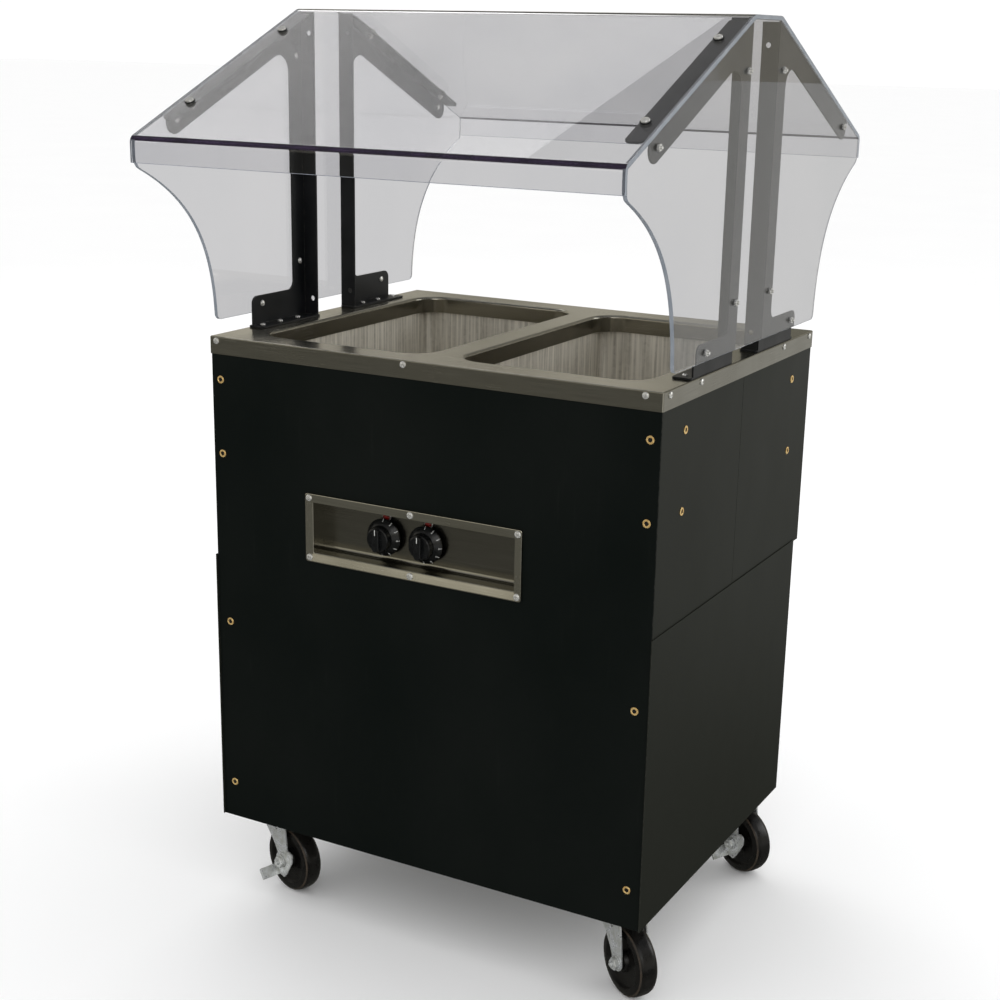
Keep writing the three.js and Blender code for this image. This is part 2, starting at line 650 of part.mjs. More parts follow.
add('front_panel', frontPanel(), BLACK_STEEL);
addSidePanels('left', -1);
addSidePanels('right', 1);
add('rear_upper_panel', rearUpperPanel(), BLACK_STEEL);
add('rear_lower_panel', rearLowerPanel(), BLACK_STEEL);
add('base_shelf', baseShelf(), GALVANISED);

add('control_box', controlBox(), STAINLESS);
add('control_bezel', controlBezel(), STAINLESS);
for (const [side, x] of Object.entries(KNOB.xs)) {
  add(`knob_${side}`, knob(x), PHENOLIC);
  add(`switch_shaft_${side}`, switchShaft(x), ZINC);
  add(`infinite_switch_${side}`, infiniteSwitch(x), SWITCH_MOULDING);
  add(`pilot_light_${side}`, pilotLight(x), RED_LENS);
}

add('cord_grip', cordGrip(), PHENOLIC);
add('power_cord', powerCord(), RUBBER);
add('power_plug', powerPlug(), RUBBER);
add('cord_hook', cordHook(), ZINC);

const bracket = guardBracket();
const corners = {
  front_left: { x: -1, y: -1, heading: -18, braked: true },
  front_right: { x: 1, y: -1, heading: -33, braked: false },
  rear_left: { x: -1, y: 1, heading: 154, braked: false },
  rear_right: { x: 1, y: 1, heading: -26, braked: true },
};
for (const [corner, { x, y, heading, braked }] of Object.entries(corners)) {
  add(`corner_post_${corner}`, cornerPost(x, y), GALVANISED);
  add(`guard_bracket_${corner}`, bracket, BLACK_POWDER).scale.set(x, -y, 1);
  addCaster(corner, x, y, heading, braked);
}
add('guard_canopy', canopy(), ACRYLIC);
add('guard_panel_left', guardPanel(-1), ACRYLIC);
add('guard_panel_right', guardPanel(1), ACRYLIC);

export default unit;
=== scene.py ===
import json
from math import atan, atan2, cos, hypot, pi, radians, sin, tan

import bmesh
import bpy
from mathutils import Matrix, Vector
from mathutils.geometry import interpolate_bezier, tessellate_polygon


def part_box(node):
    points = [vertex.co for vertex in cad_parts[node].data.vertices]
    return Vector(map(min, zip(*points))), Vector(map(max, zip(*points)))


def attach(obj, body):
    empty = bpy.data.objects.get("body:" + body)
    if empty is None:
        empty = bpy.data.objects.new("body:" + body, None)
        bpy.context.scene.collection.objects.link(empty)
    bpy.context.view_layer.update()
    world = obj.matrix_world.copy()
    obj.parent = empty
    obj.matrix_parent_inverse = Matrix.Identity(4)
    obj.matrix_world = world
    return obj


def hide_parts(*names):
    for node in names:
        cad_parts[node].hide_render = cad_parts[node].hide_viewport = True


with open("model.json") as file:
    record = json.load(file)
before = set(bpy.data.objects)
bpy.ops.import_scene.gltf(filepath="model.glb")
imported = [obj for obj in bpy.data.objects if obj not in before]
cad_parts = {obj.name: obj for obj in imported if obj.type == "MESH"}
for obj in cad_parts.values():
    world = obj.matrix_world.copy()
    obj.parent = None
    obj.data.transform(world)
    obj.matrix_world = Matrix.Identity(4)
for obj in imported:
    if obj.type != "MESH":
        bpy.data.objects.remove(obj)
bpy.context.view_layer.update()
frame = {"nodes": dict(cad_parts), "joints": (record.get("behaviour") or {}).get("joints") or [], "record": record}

# Looks for the two-well steam table: metres, +X right, +Y rear, +Z up, origin on the floor.
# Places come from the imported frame; sizes below are in millimetres and go through mm().


def mm(*values):
    """Millimetres as metres: one number, several, or lists of them."""
    scaled = [value / 1000 if isinstance(value, (int, float)) else mm(*value) for value in values]
    return scaled[0] if len(scaled) == 1 else scaled


def box(node):
    """A CAD node's lowest and highest corners and its middle."""
    low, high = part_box(node)
    return low, high, (low + high) / 2


def having(thing, **settings):
    """The thing, with its settings made."""
    for key, value in settings.items():
        setattr(thing, key, value)
    return thing


def linked(name, data, **settings):
    """A new object in the scene."""
    obj = bpy.data.objects.new(name, data)
    bpy.context.scene.collection.objects.link(obj)
    return having(obj, **settings)


JOINTS = {joint["name"]: joint for joint in frame["joints"]}
CORNERS = {"front_left": (-1, -1), "front_right": (1, -1), "rear_left": (-1, 1), "rear_right": (1, 1)}
SIDES = {"left": -1, "right": 1}
BRAKED = ("front_left", "rear_right")

top_low, top_high, _ = box("worktop")
TOP = top_high.z
OPENING = mm(305, 508)
OPENING_CORNER = mm(45)
COLLAR = mm(28)
WELL_X = mm(-178, 178)

SHEET = mm(6)  # clear sheet thickness of the guard
RIDGE = mm(54)  # half the width of the flat ridge
SLOPE = 0.45
SLOPE_ANGLE = atan(SLOPE)
GUARD_GAP = mm(0.3)  # what stands under the canopy stays this far below it
INNER_RIDGE = RIDGE - SHEET * tan(SLOPE_ANGLE / 2)
BOLT_X = mm(366)  # canopy bolts, and the holes in the brackets' posts
RIVET_X = mm(368)  # upper rivet nuts, and the screws in the brackets' feet
canopy_low, canopy_high, _ = box("guard_canopy")
panel_low, panel_high, _ = box("guard_panel_right")

# ---- places and outlines


def shift(x=0.0, y=0.0, z=0.0):
    return Matrix.Translation((x, y, z))


def turn(degrees, axis="X"):
    return Matrix.Rotation(radians(degrees), 4, axis)


def facing(position, normal, spin=0.0):
    """Turns local +z to the normal and moves it to the position."""
    upright = Vector(normal).to_track_quat("Z", "Y").to_matrix().to_4x4()
    return Matrix.Translation(position) @ upright @ Matrix.Rotation(spin, 4, "Z")


def across(x=0.0):
    """Local x and y become the unit's y and z, and thickness runs along +x from x."""
    return Matrix(((0, 0, 1, x), (1, 0, 0, 0), (0, 1, 0, 0), (0, 0, 0, 1)))


def rearwards(y):
    """Local x and y become the unit's x and z, and thickness runs along +y from y."""
    return Matrix(((1, 0, 0, 0), (0, 0, 1, y), (0, 1, 0, 0), (0, 0, 0, 1)))


def angles(start, end, steps):
    """Equal steps between two angles in degrees, as radians."""
    return [radians(start + (end - start) * i / steps) for i in range(steps + 1)]


def arc(x, y, radius, start, end, steps=8):
    return [(x + radius * cos(a), y + radius * sin(a)) for a in angles(start, end, steps)]


def rounded(width, depth, radius, x=0.0, y=0.0, steps=8):
    """A rectangle with round corners, anticlockwise."""
    points = []
    for i, (sx, sy) in enumerate(((1, 1), (-1, 1), (-1, -1), (1, -1))):
        cx, cy = x + sx * (width / 2 - radius), y + sy * (depth / 2 - radius)
        points += arc(cx, cy, radius, i * 90, i * 90 + 90, steps)
    return points


def circle(x, y, radius, sides=24):
    return arc(x, y, radius, 0, 360 - 360 / sides, sides - 1)


def eased(corners, steps=6):
    """A polygon whose (x, y, radius) corners are turned into arcs."""
    points = []
    for i, (x, y, radius) in enumerate(corners):
        if radius == 0:
            points.append((x, y))
            continue
        here = Vector((x, y))
        back, ahead = ((Vector(corners[j % len(corners)][:2]) - here).normalized() for j in (i - 1, i + 1))
        half = back.angle(ahead) / 2
        centre = here + (back + ahead).normalized() * (radius / sin(half))
        enter, leave = (here + way * (radius / tan(half)) - centre for way in (back, ahead))
        bend = -enter.angle_signed(leave)
        points += [tuple(centre + Matrix.Rotation(bend * step / steps, 2) @ enter)
                   for step in range(steps + 1)]
    return points


def bezier(steps, *points):
    """Points along a cubic curve from its start, handles and end, without the first one."""
    return interpolate_bezier(*points, steps + 1)[1:]


# ---- solids, each one a bmesh


def moved(bm, matrix):
    bmesh.ops.transform(bm, matrix=matrix, verts=bm.verts)
    return bm


def from_curve(matrix, lines=(), cyclic=False, kind="CURVE", **settings):
    """A bmesh of a Blender curve or text with these settings, through each line of points."""
    curve = having(bpy.data.curves.new("curve", kind), **settings)
    for points in lines:
        spline = curve.splines.new("POLY")
        spline.points.add(len(points) - 1)
        for target, point in zip(spline.points, points):
            target.co = (*point, *([0] * (3 - len(point))), 1)
        spline.use_cyclic_u = cyclic
    holder = bpy.data.objects.new("curve", curve)
    mesh = bpy.data.meshes.new_from_object(holder)
    bm = bmesh.new()
    bm.from_mesh(mesh)
    bpy.data.objects.remove(holder)
    bpy.data.meshes.remove(mesh)
    return moved(bm, matrix)


def plate(rings, depth, matrix, edge=mm(0.5)):
    """A flat plate with softened edges: the outline and its holes in x and y, from z 0 to depth."""
    return from_curve(
        matrix @ shift(z=depth / 2), rings, True, dimensions="2D", fill_mode="BOTH",
        extrude=depth / 2 - edge, bevel_depth=edge, bevel_resolution=2, offset=-edge)


def tube(points, radius, bend=0.0, steps=8):
    """A round bar through the points, with every inner corner eased into a bend."""
    corners = [Vector(point) for point in points]
    path = [corners[0]]
    for before, here, after in zip(corners, corners[1:], corners[2:]):
        back, ahead = before - here, after - here
        reach = min(bend, back.length * 0.48, ahead.length * 0.48)
        enter, leave = here + back.normalized() * reach, here + ahead.normalized() * reach
        for i in range(steps + 1):
            t = i / steps
            path.append(enter * (1 - t) ** 2 + here * 2 * t * (1 - t) + leave * t * t)
    path.append(corners[-1])
    return from_curve(Matrix(), [path], dimensions="3D", bevel_depth=radius, bevel_resolution=6,
                      use_fill_caps=True)


def skin(rings, closed=False, cap=()):
    """Quads between rings of points; cap lists the rings (0 or -1) that get a face."""
    bm = bmesh.new()
    rows = [[bm.verts.new(point) for point in ring] for ring in rings]
    for near, far in zip(rows, rows[1:] + rows[:1] if closed else rows[1:]):
        sides = max(len(near), len(far))
        if sides == 1:
            continue
        for i in range(sides):
            j = (i + 1) % sides
            corners = [near[i % len(near)], near[j % len(near)], far[j % len(far)], far[i % len(far)]]
            bm.faces.new(list(dict.fromkeys(corners)))
    for index in cap:
        bm.faces.new(rows[index])
    return bm


def lathe(profile, matrix=Matrix(), sides=48):
    """A turned body about z, from (radius, height) pairs."""
    rings = []
    for radius, height in profile:
        count = 1 if radius == 0 else sides
        around = [2 * pi * i / count for i in range(count)]
        rings.append([matrix @ Vector((radius * cos(a), radius * sin(a), height)) for a in around])
    return skin(rings)


def merged(*parts):
    """Several bmeshes as one."""
    whole = bmesh.new()
    for bm in parts:
        mesh = bpy.data.meshes.new("part")
        bm.to_mesh(mesh)
        whole.from_mesh(mesh)
        bm.free()
        bpy.data.meshes.remove(mesh)
    return whole


def copies(bm, matrices):
    """The same bmesh at every matrix."""
    placed = [moved(bm.copy(), matrix) for matrix in matrices]
    bm.free()
    return merged(*placed)


def cleaned(bm, name):
    """The bmesh as an object and its mesh, with doubles merged and every face looking outwards."""
    bmesh.ops.remove_doubles(bm, verts=bm.verts, dist=1e-6)
    bmesh.ops.recalc_face_normals(bm, faces=bm.faces)
    mesh = bpy.data.meshes.new(name)
    bm.to_mesh(mesh)
    bm.free()
    return linked(name, mesh), mesh


def piece(name, parts, look, node=None, body="chassis", smooth=32, sheet=0.0, rim=()):
    """Puts a bmesh, or a list of them, in the scene as one named piece that may replace a CAD node.

    sheet thickens an open surface; rim lists further looks, each with the test of a face that picks it.
    """
    obj, mesh = cleaned(merged(*parts) if isinstance(parts, list) else parts, name)
    mesh.shade_smooth()
    mesh.set_sharp_from_angle(angle=radians(smooth))
    mesh.materials.append(LOOKS[look])
    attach(obj, body)
    if node:
        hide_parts(node)
    if sheet:
        having(obj.modifiers.new("sheet", "SOLIDIFY"), thickness=sheet, offset=-1, use_even_offset=True)
    for index, (further, chosen) in enumerate(rim, 1):
        mesh.materials.append(LOOKS[further])
        for face in mesh.polygons:
            if chosen(face):
                face.material_index = index
    having(obj.modifiers.new("even", "WEIGHTED_NORMAL"), weight=100, keep_sharp=True)


# ---- materials


def rgb(red, green, blue, shade=1):
    """A display colour, 0 to 255, as scene-linear times shade."""
    def linear(value):
        value /= 255
        return shade * (value / 12.92 if value <= 0.04045 else ((value + 0.055) / 1.055) ** 2.4)
    return (linear(red), linear(green), linear(blue), 1)


class Nodes:
    """Adds nodes to one tree. Sizes are in millimetres of the unit's own frame."""

    def __init__(self, tree):
        self.tree = tree

    def node(self, kind, **values):
        """A new node. Capitalised names are its inputs, the others its settings."""
        inputs = {key: value for key, value in values.items() if key[0].isupper()}
        settings = {key: value for key, value in values.items() if key not in inputs}
        node = having(self.tree.nodes.new("ShaderNode" + kind), **settings)
        self.feed(node, **inputs)
        return node

    def feed(self, node, **inputs):
        """Sets inputs by name, underscores for spaces, from a value or another node's socket."""
        for key, value in inputs.items():
            self.plug(node.inputs[key.replace("_", " ")], value)

    def plug(self, socket, value):
        if isinstance(value, bpy.types.NodeSocket):
            self.tree.links.new(value, socket)
        else:
            socket.default_value = value

    def noise(self, size, stretch=(1, 1, 1), detail=4.0, place=None):
        """Cloudy 0 to 1, with features about size across, drawn out along the axes by stretch."""
        scale = [1 / (mm(size) * s) for s in stretch]
        mapping = self.node("Mapping", Vector=place or self.place, Scale=scale)
        return self.node("TexNoise", Vector=mapping.outputs[0], Scale=1.0, Detail=detail).outputs["Fac"]

    def between(self, fac, low=0, high=1, start=0.3, end=0.7):
        ranged = self.node("MapRange", Value=fac, From_Min=start, From_Max=end, To_Min=low, To_Max=high)
        return ranged.outputs["Result"]

    def maths(self, operation, one, other=0.0, kind="Math"):
        node = self.node(kind, operation=operation)
        for socket, value in zip(node.inputs, (one, other)):
            self.plug(socket, value)
        return node.outputs["Value"]

    def tint(self, fac, one, other):
        return self.node("MixRGB", Fac=fac, Color1=one, Color2=other).outputs[0]

    def axis(self, vector, index):
        return self.node("SeparateXYZ", Vector=vector).outputs[index]

    def mixed(self, fac, one, other):
        """A mix of two shader nodes."""
        mix = self.node("MixShader", Fac=fac)
        self.plug(mix.inputs[1], one.outputs[0])
        self.plug(mix.inputs[2], other.outputs[0])
        return mix

    def seen_past(self, direct, through, reflected):
        """The direct shader, or another one behind a clear sheet, or another one in a reflection."""
        ray = self.node("LightPath").outputs
        for depth, shader in (("Transmission Depth", through), ("Glossy Depth", reflected)):
            direct = self.mixed(self.maths("MINIMUM", ray[depth], 1), direct, shader)
        return direct


class Look(Nodes):
    """A material grown round one Principled shader."""

    def __init__(self, name, **inputs):
        self.material = bpy.data.materials.new(name)
        self.material.use_nodes = True
        super().__init__(self.material.node_tree)
        self.shader = self.tree.nodes["Principled BSDF"]
        coordinates = self.node("TexCoord")
        self.place = coordinates.outputs["Object"]
        self.facing = coordinates.outputs["Normal"]
        self.show(**inputs)

    def show(self, **inputs):
        self.feed(self.shader, **inputs)

    def finish(self, shader):
        self.feed(self.tree.nodes["Material Output"], Surface=shader.outputs[0])
        return self.material

    def flakes(self, size):
        """Random flat flakes, as on galvanised steel."""
        cells = self.node("TexVoronoi", Vector=self.place, Scale=1 / mm(size))
        return self.node("RGBToBW", Color=cells.outputs["Color"]).outputs[0]

    def bump(self, height, depth, strength=1.0):
        bump = self.node("Bump", Height=height, Distance=mm(depth), Strength=strength)
        self.show(Normal=bump.outputs[0])

    def worn_edges(self, radius):
        """0 on flat faces, up to 1 on the outer edges, broken up by noise."""
        soft = self.node("Bevel", samples=3, Radius=mm(radius)).outputs[0]
        plain = self.node("NewGeometry").outputs["True Normal"]
        edge = self.between(self.maths("DOT_PRODUCT", soft, plain, "VectorMath"), 1, 0, 0.75, 0.99)
        return self.maths("MULTIPLY", edge, self.between(self.noise(6), 0, 1, 0.42, 0.62))


def brushed_stainless(name="brushed_stainless", shade=1.0):
    """Sheet brushed lengthwise: fine streaks along x, or along y on the faces that look sideways, whose colour is
    painted darker as shade. A shade below 1 paints the colour darker as shade, above 1 lighter as painted light.
    """
    look = Look(name, Metallic=1.0)
    sideways = look.maths("GREATER_THAN", look.maths("ABSOLUTE", look.axis(look.facing, 0)), 0.6)
    along_x, along_y = look.noise(0.5, (160, 1, 1), 3), look.noise(0.5, (1, 160, 1), 3)
    brushing = look.node("Mix", Factor=sideways, A=along_x, B=along_y).outputs[0]
    smudges = look.noise(70, (1.6, 1, 1), 3)
    tone = look.tint(look.between(brushing), rgb(176, 173, 160, shade), rgb(204, 201, 189, shade))
    tone = look.tint(look.between(smudges, 0, 0.35), tone, rgb(156, 151, 135, shade))
    rough = look.maths("ADD", look.between(brushing, 0.14, 0.22), look.between(smudges, 0, 0.08))
    # Painted shade: the faces that look sideways are painted up to 40% darker, for the little light they send back
    # across the grain.
    look.show(Base_Color=look.tint(look.between(sideways, 0, 0.4, 0, 1), tone, (0, 0, 0, 1)),
              Roughness=rough)
    look.bump(brushing, 0.02, 0.35)
    return look.material


def galvanised(name, bright, dark, upright, metallic=0.9):
    """Zinc flakes with long dull streaks down the sheet."""
    look = Look(name, Metallic=metallic)
    flakes = look.flakes(7)
    streaks = look.noise(5, (1, 1, upright), 6)
    tone = look.tint(look.between(streaks, 0, 1, 0.35, 0.65), rgb(*dark), rgb(*bright))
    rough = look.maths("ADD", look.between(flakes, 0.3, 0.46, 0, 1), look.between(streaks, 0, 0.14))
    look.show(Base_Color=look.tint(look.between(flakes, 0, 0.4, 0, 1), tone, rgb(*bright)), Roughness=rough)
    look.bump(streaks, 0.15, 0.4)
    return look.material


def painted_sheet(name, colour, specular, roughness):
    """Black pre-painted sheet: faint orange peel, a dusty bloom and a few long scuffs."""
    look = Look(name, Specular_IOR_Level=specular)
    bloom = look.noise(260, (1, 1, 1.5), 4)
    scuffs = look.between(look.noise(9, (1, 1, 14), 2), 0, 0.006, 0.66, 0.8)
    dusty = look.maths("ADD", look.between(bloom, 0, 0.008), scuffs)
    base = look.tint(dusty, rgb(*colour), rgb(150, 148, 140))
    look.show(Base_Color=look.tint(look.worn_edges(1.2), base, rgb(66, 66, 62)),
              Roughness=look.between(bloom, roughness - 0.06, roughness + 0.08))
    look.bump(look.noise(1.6, detail=2), 0.05, 0.12)
    return look.material


def powder_coat():
    """Satin black powder coat with its fine pebbled skin."""
    look = Look("black_powder_coat", Specular_IOR_Level=0.28)
    cloud = look.noise(60)
    base = look.tint(look.between(cloud), rgb(13, 15, 17), rgb(24, 25, 27))
    look.show(Base_Color=look.tint(look.worn_edges(0.8), base, rgb(96, 94, 88)),
              Roughness=look.between(cloud, 0.3, 0.44))
    look.bump(look.noise(0.9, detail=3), 0.06, 0.35)
    return look.material


def clear_acrylic():
    """Clear cast sheet: it absorbs a little, its haze varies, and light passes it without caustics."""
    look = Look("clear_acrylic", Transmission_Weight=1.0, IOR=1.53)
    haze = look.noise(120, (1, 2.5, 2.5), 5)
    scratches = look.between(look.noise(1.2, (40, 1, 1), 2), 0, 0.02, 0.74, 0.82)
    look.show(Base_Color=look.tint(look.between(haze), (0.93, 0.925, 0.94, 1), (0.88, 0.88, 0.9, 1)),
              Roughness=look.maths("ADD", look.between(haze, 0, 0.006), scratches))
    ray = look.node("LightPath").outputs
    soft = look.maths("MAXIMUM", ray["Is Shadow Ray"], ray["Is Diffuse Ray"])
    clear = look.node("BsdfTransparent", Color=(0.92, 0.92, 0.93, 1))
    return look.finish(look.mixed(soft, look.shader, clear))


def zinc_plate():
    """Bright zinc plating, a little cloudy and yellowed."""
    # Painted sheen: only partly metallic over a bright base, so a diffuse part brightens the plating in place of
    # bright reflections.
    look = Look("zinc_plate", Metallic=0.62)
    cloud = look.noise(9, detail=5)
    tone = look.tint(look.between(cloud), rgb(236, 239, 242), rgb(202, 204, 198))
    specks = look.between(look.noise(2.5), 0, 0.25, 0.6, 0.75)
    look.show(Base_Color=look.tint(specks, tone, rgb(150, 147, 134)),
              Roughness=look.between(cloud, 0.22, 0.42))
    look.bump(look.noise(1.2), 0.02, 0.15)
    return look.material


def clouded(name, one, other, gloss, size, detail=5, **inputs):
    """Two close tones and an uneven gloss, both from the same clouds."""
    look = Look(name, **inputs)
    cloud = look.noise(size, detail=detail)
    look.show(Base_Color=look.tint(look.between(cloud), rgb(*one), rgb(*other)),
              Roughness=look.between(cloud, *gloss))
    return look, cloud


def moulded(name, colour, light, roughness, grain=0.7, depth=0.05):
    """A moulded surface with a fine grain."""
    look, _ = clouded(name, colour, light, (roughness - 0.08, roughness + 0.1), 14)
    look.bump(look.noise(grain, detail=3), depth, 0.4)
    return look.material


def metal(name, bright, dark, roughness, size=4, metallic=1.0):
    """A small metal part."""
    look, cloud = clouded(name, bright, dark, (roughness, roughness + 0.16), size, Metallic=metallic)
    look.bump(cloud, 0.04, 0.25)
    return look.material


def gathered(name, one, other, size, detail, clear, index=1.49):
    """A red lens, and the painted glow of a clear sheet's cut edges and painted dark line of its bends, which
    stand in for the light that runs inside the sheet.
    """
    return clouded(name, one, other, (0.12, 0.26), size, detail,
                   Transmission_Weight=clear, IOR=index)[0].material


# The CAD's own materials hold some of these names already, so Blender adds a number to them.
LOOKS = {look.name.split(".")[0]: look for look in (
    brushed_stainless(),
    # Brushed steel painted darker, as painted shade inside the recessed control box.
    brushed_stainless("recess_steel_painted_shade", 0.64),
    # Brushed steel painted 1.45 times lighter, a painted highlight for the bright frame round the controls.
    brushed_stainless("bezel_steel_painted_light", 1.45),
    galvanised("galvanised_liner", (232, 227, 214), (172, 167, 154), 30, 0.45),
    galvanised("galvanised_frame", (168, 169, 167), (128, 128, 124), 3),
    metal("heater_sheath", (92, 84, 74), (54, 48, 46), 0.42, 12),
    painted_sheet("black_sheet_front", (8, 14, 12), 0.12, 0.4),
    # The same black sheet as the front, painted lighter and less glossy for the light its side faces catch:
    # painted light.
    painted_sheet("black_sheet_side", (30, 32, 27), 0.07, 0.36),
    powder_coat(),
    clear_acrylic(),
    # Painted light: cut edges of the clear sheets are painted as a bright glow, and the canopy's bends as a dark
    # purple line.
    gathered("painted_edge_glow", (208, 215, 224), (178, 188, 200), 30, 3, 0.6),
    gathered("dark_bend", (46, 34, 58), (26, 20, 36), 30, 3, 0.3),
    gathered("red_lens", (150, 22, 16), (104, 12, 10), 3, 4, 0.35, 1.46),
    zinc_plate(),
    # Painted sheen: chrome and brass are only partly metallic over a bright base, so a diffuse part lights them in
    # place of the bright reflections they miss.
    metal("chrome_fastener", (244, 244, 241), (206, 205, 200), 0.08, metallic=0.7),
    metal("brass_fastener", (255, 224, 156), (220, 174, 104), 0.14, metallic=0.6),
    moulded("caster_tread", (9, 9, 9), (22, 20, 18), 0.3, 1.5, 0.06),
    # A tan ring painted on each wheel shoulder as the brownish highlight along its rim: painted highlight.
    moulded("tan_band", (66, 55, 43), (46, 40, 33), 0.5, 1.2, 0.1),
    moulded("black_rubber", (18, 18, 18), (34, 33, 32), 0.55, 0.8, 0.06),
    moulded("black_phenolic", (9, 10, 11), (17, 18, 19), 0.22, 1.5, 0.01),
    moulded("switch_moulding", (46, 44, 40), (60, 57, 52), 0.55),
    # The dark colour of the plugs in the rivet bores: painted shade.
    moulded("bore_painted_shade", (14, 12, 10), (30, 25, 20), 0.6),
    moulded("dial_marking", (214, 214, 210), (188, 188, 184), 0.5),
    moulded("black_washer", (12, 12, 13), (26, 26, 27), 0.5),
)}

# ---- cabinet


def dress_nodes():
    """Every CAD node takes its slot's look, and its sharp folds are broken by a narrow bevel. The control box
    instead takes brushed steel painted darker, as painted shade in its recess.
    """
    for row in frame["record"]["subparts"]:
        node = frame["nodes"][row["node"]]
        # The recessed control box gets painted shade: brushed steel painted darker.
        look = "recess_steel_painted_shade" if row["node"] == "control_box" else row["material_slot"]
        node.data.materials.clear()
        node.data.materials.append(LOOKS[look])
        having(node.modifiers.new("weld", "WELD"), merge_threshold=1e-5)
        having(node.modifiers.new("flat", "DECIMATE"), decimate_type="DISSOLVE",
               angle_limit=radians(0.5))
        having(node.modifiers.new("edge", "BEVEL"), width=mm(0.5), segments=2, limit_method="ANGLE",
               angle_limit=radians(40))


def seam_straps():
    """A joint strip behind the seam between the upper side panels."""
    low, high, middle = box("side_panel_right_upper_front")
    width, thick, gap = mm(24, 1, 0.2)
    strip = rounded(width, high.z - low.z - mm(4), mm(1), 0, middle.z)
    strips = [plate([strip], thick, across(sign * low.x - (gap + thick if sign > 0 else -gap)), mm(0.2))
              for sign in SIDES.values()]
    # The straps take the side panels' black, which is painted lighter as painted light.
    piece("seam_straps", strips, "black_sheet_side")


# ---- worktop and wells


def ring_at(width, depth, corner, x, offset, z):
    """A rounded rectangle grown outwards by offset, at height z."""
    outline = rounded(width + 2 * offset, depth + 2 * offset, corner + offset, x)
    return [(px, py, z) for px, py in outline]


def fold(radius):
    """(inset, drop) pairs round a quarter bend."""
    return [(radius * (1 - sin(a)), radius * (1 - cos(a))) for a in angles(0, 90, 6)]


def worktop():
    """One folded sheet: a flat top, an apron all round and a rolled collar in each opening."""
    size = top_high - top_low
    corner, bend, roll, shoulder = mm(2.5, 2, 5, 1)
    edge = [(-bend - shoulder / 2, 0)] + [(-inset, drop) for inset, drop in fold(bend)]
    edge += [(0, size.z - mm(1)), (-mm(0.4), size.z - mm(0.2)), (-mm(1.4), size.z)]
    lip = [(roll + shoulder, 0)] + fold(roll) + [(0, COLLAR)]
    folds = [[ring_at(size.x, size.y, corner, 0, offset, TOP - drop) for offset, drop in edge]]
    folds += [[ring_at(*OPENING, OPENING_CORNER, x, offset, TOP - drop) for offset, drop in lip]
              for x in WELL_X]
    fills = [rings[0] for rings in folds]
    flat = bmesh.new()
    corners = [flat.verts.new(point) for ring in fills for point in ring]
    for triangle in tessellate_polygon([[Vector(point) for point in ring] for ring in fills]):
        flat.faces.new([corners[index] for index in triangle])
    piece("worktop_sheet", [*map(skin, folds), flat], "brushed_stainless", "worktop", sheet=mm(1.2))


def well_liner(side):
    """A deep folded tray with a soft bend round its floor and an upright seam in each corner."""
    low, high, middle = box(f"well_liner_{side}")
    size = high - low
    bend, corner, inset = mm(8, 13, 4.2)
    levels = [(0, high.z)] + [(bend * cos(a) - bend, low.z + bend - bend * sin(a))
                              for a in angles(0, 90, 6)]
    rings = [ring_at(size.x, size.y, corner, middle.x, offset, z) for offset, z in levels]
    piece(f"liner_{side}", skin(rings, cap=[-1]), "galvanised_liner", f"well_liner_{side}", sheet=mm(1))
    seams = []
    for sx, sy in CORNERS.values():
        x, y = middle.x + sx * (size.x / 2 - inset), middle.y + sy * (size.y / 2 - inset)
        seams.append(tube([(x, y, low.z + bend), (x, y, high.z - mm(2))], mm(1.1)))
    piece(f"liner_seams_{side}", seams, "galvanised_liner")


def heating_element(side):
    """A tubular heater laid in a loop above the liner's floor, its ends turned down through it."""
    low, high, middle = box(f"heating_element_{side}")
    radius, gap = mm(4, 20)
    left, right, front, rear = low.x + radius, high.x - radius, low.y + radius, high.y - radius
    z = high.z - radius
    near, far = middle.x - gap, middle.x + gap
    path = [(near, front, low.z), (near, front, z), (left, front, z), (left, rear, z), (right, rear, z),
            (right, front, z), (far, front, z), (far, front, low.z)]
    piece(f"heater_loop_{side}", tube(path, radius, mm(26)), "heater_sheath", f"heating_element_{side}")


# ---- fasteners


def dome(radius, height):
    """A domed head's profile, from its rim to its crown."""
    crown = [(radius * cos(a), height * (0.35 + 0.65 * sin(a))) for a in angles(0, 90, 6)[:-1]]
    return [(radius, 0)] + crown + [(0, height)]


def cross_head(radius, height):
    """A domed screw head with a cross recess sunk in it."""
    head = lathe([(0, -mm(0.2))] + dome(radius, height), sides=24)
    arm, width, deep = radius * 0.56, radius * 0.16, height * 0.5
    corner = [(width, arm), (width, width), (arm, width), (arm, -width), (width, -width), (width, -arm)]
    cross = corner + [(-x, -y) for x, y in corner]
    cutter = skin([[(x, y, z) for x, y in cross] for z in (height - deep, height + deep)], cap=[0, -1])
    return subtracted(head, cutter)


def subtracted(body, cutter):
    """body less cutter, both closed."""
    pair = [cleaned(bm, "operand")[0] for bm in (body, cutter)]
    having(pair[0].modifiers.new("cut", "BOOLEAN"), operation="DIFFERENCE", solver="EXACT", object=pair[1])
    bpy.context.view_layer.update()
    result = bpy.data.meshes.new_from_object(pair[0].evaluated_get(bpy.context.evaluated_depsgraph_get()))
    bm = bmesh.new()
    bm.from_mesh(result)
    for mesh in (result, pair[0].data, pair[1].data):
        bpy.data.meshes.remove(mesh)
    return bm


def hex_nut(radius, height, bore):
    """A hexagon nut with chamfered corners round a threaded end."""
    rings = [[(x, y, z) for x, y in arc(0, 0, radius * share, 0, 300, 5)] for share, z in (
        (0.93, 0), (1, height * 0.12), (1, height * 0.8), (0.88, height))]
    tip = height + bore
    end = lathe([(0, 0), (bore, 0), (bore, tip - bore * 0.3), (bore * 0.8, tip), (0, tip)], sides=20)
    return merged(skin(rings, cap=[0, -1]), end)


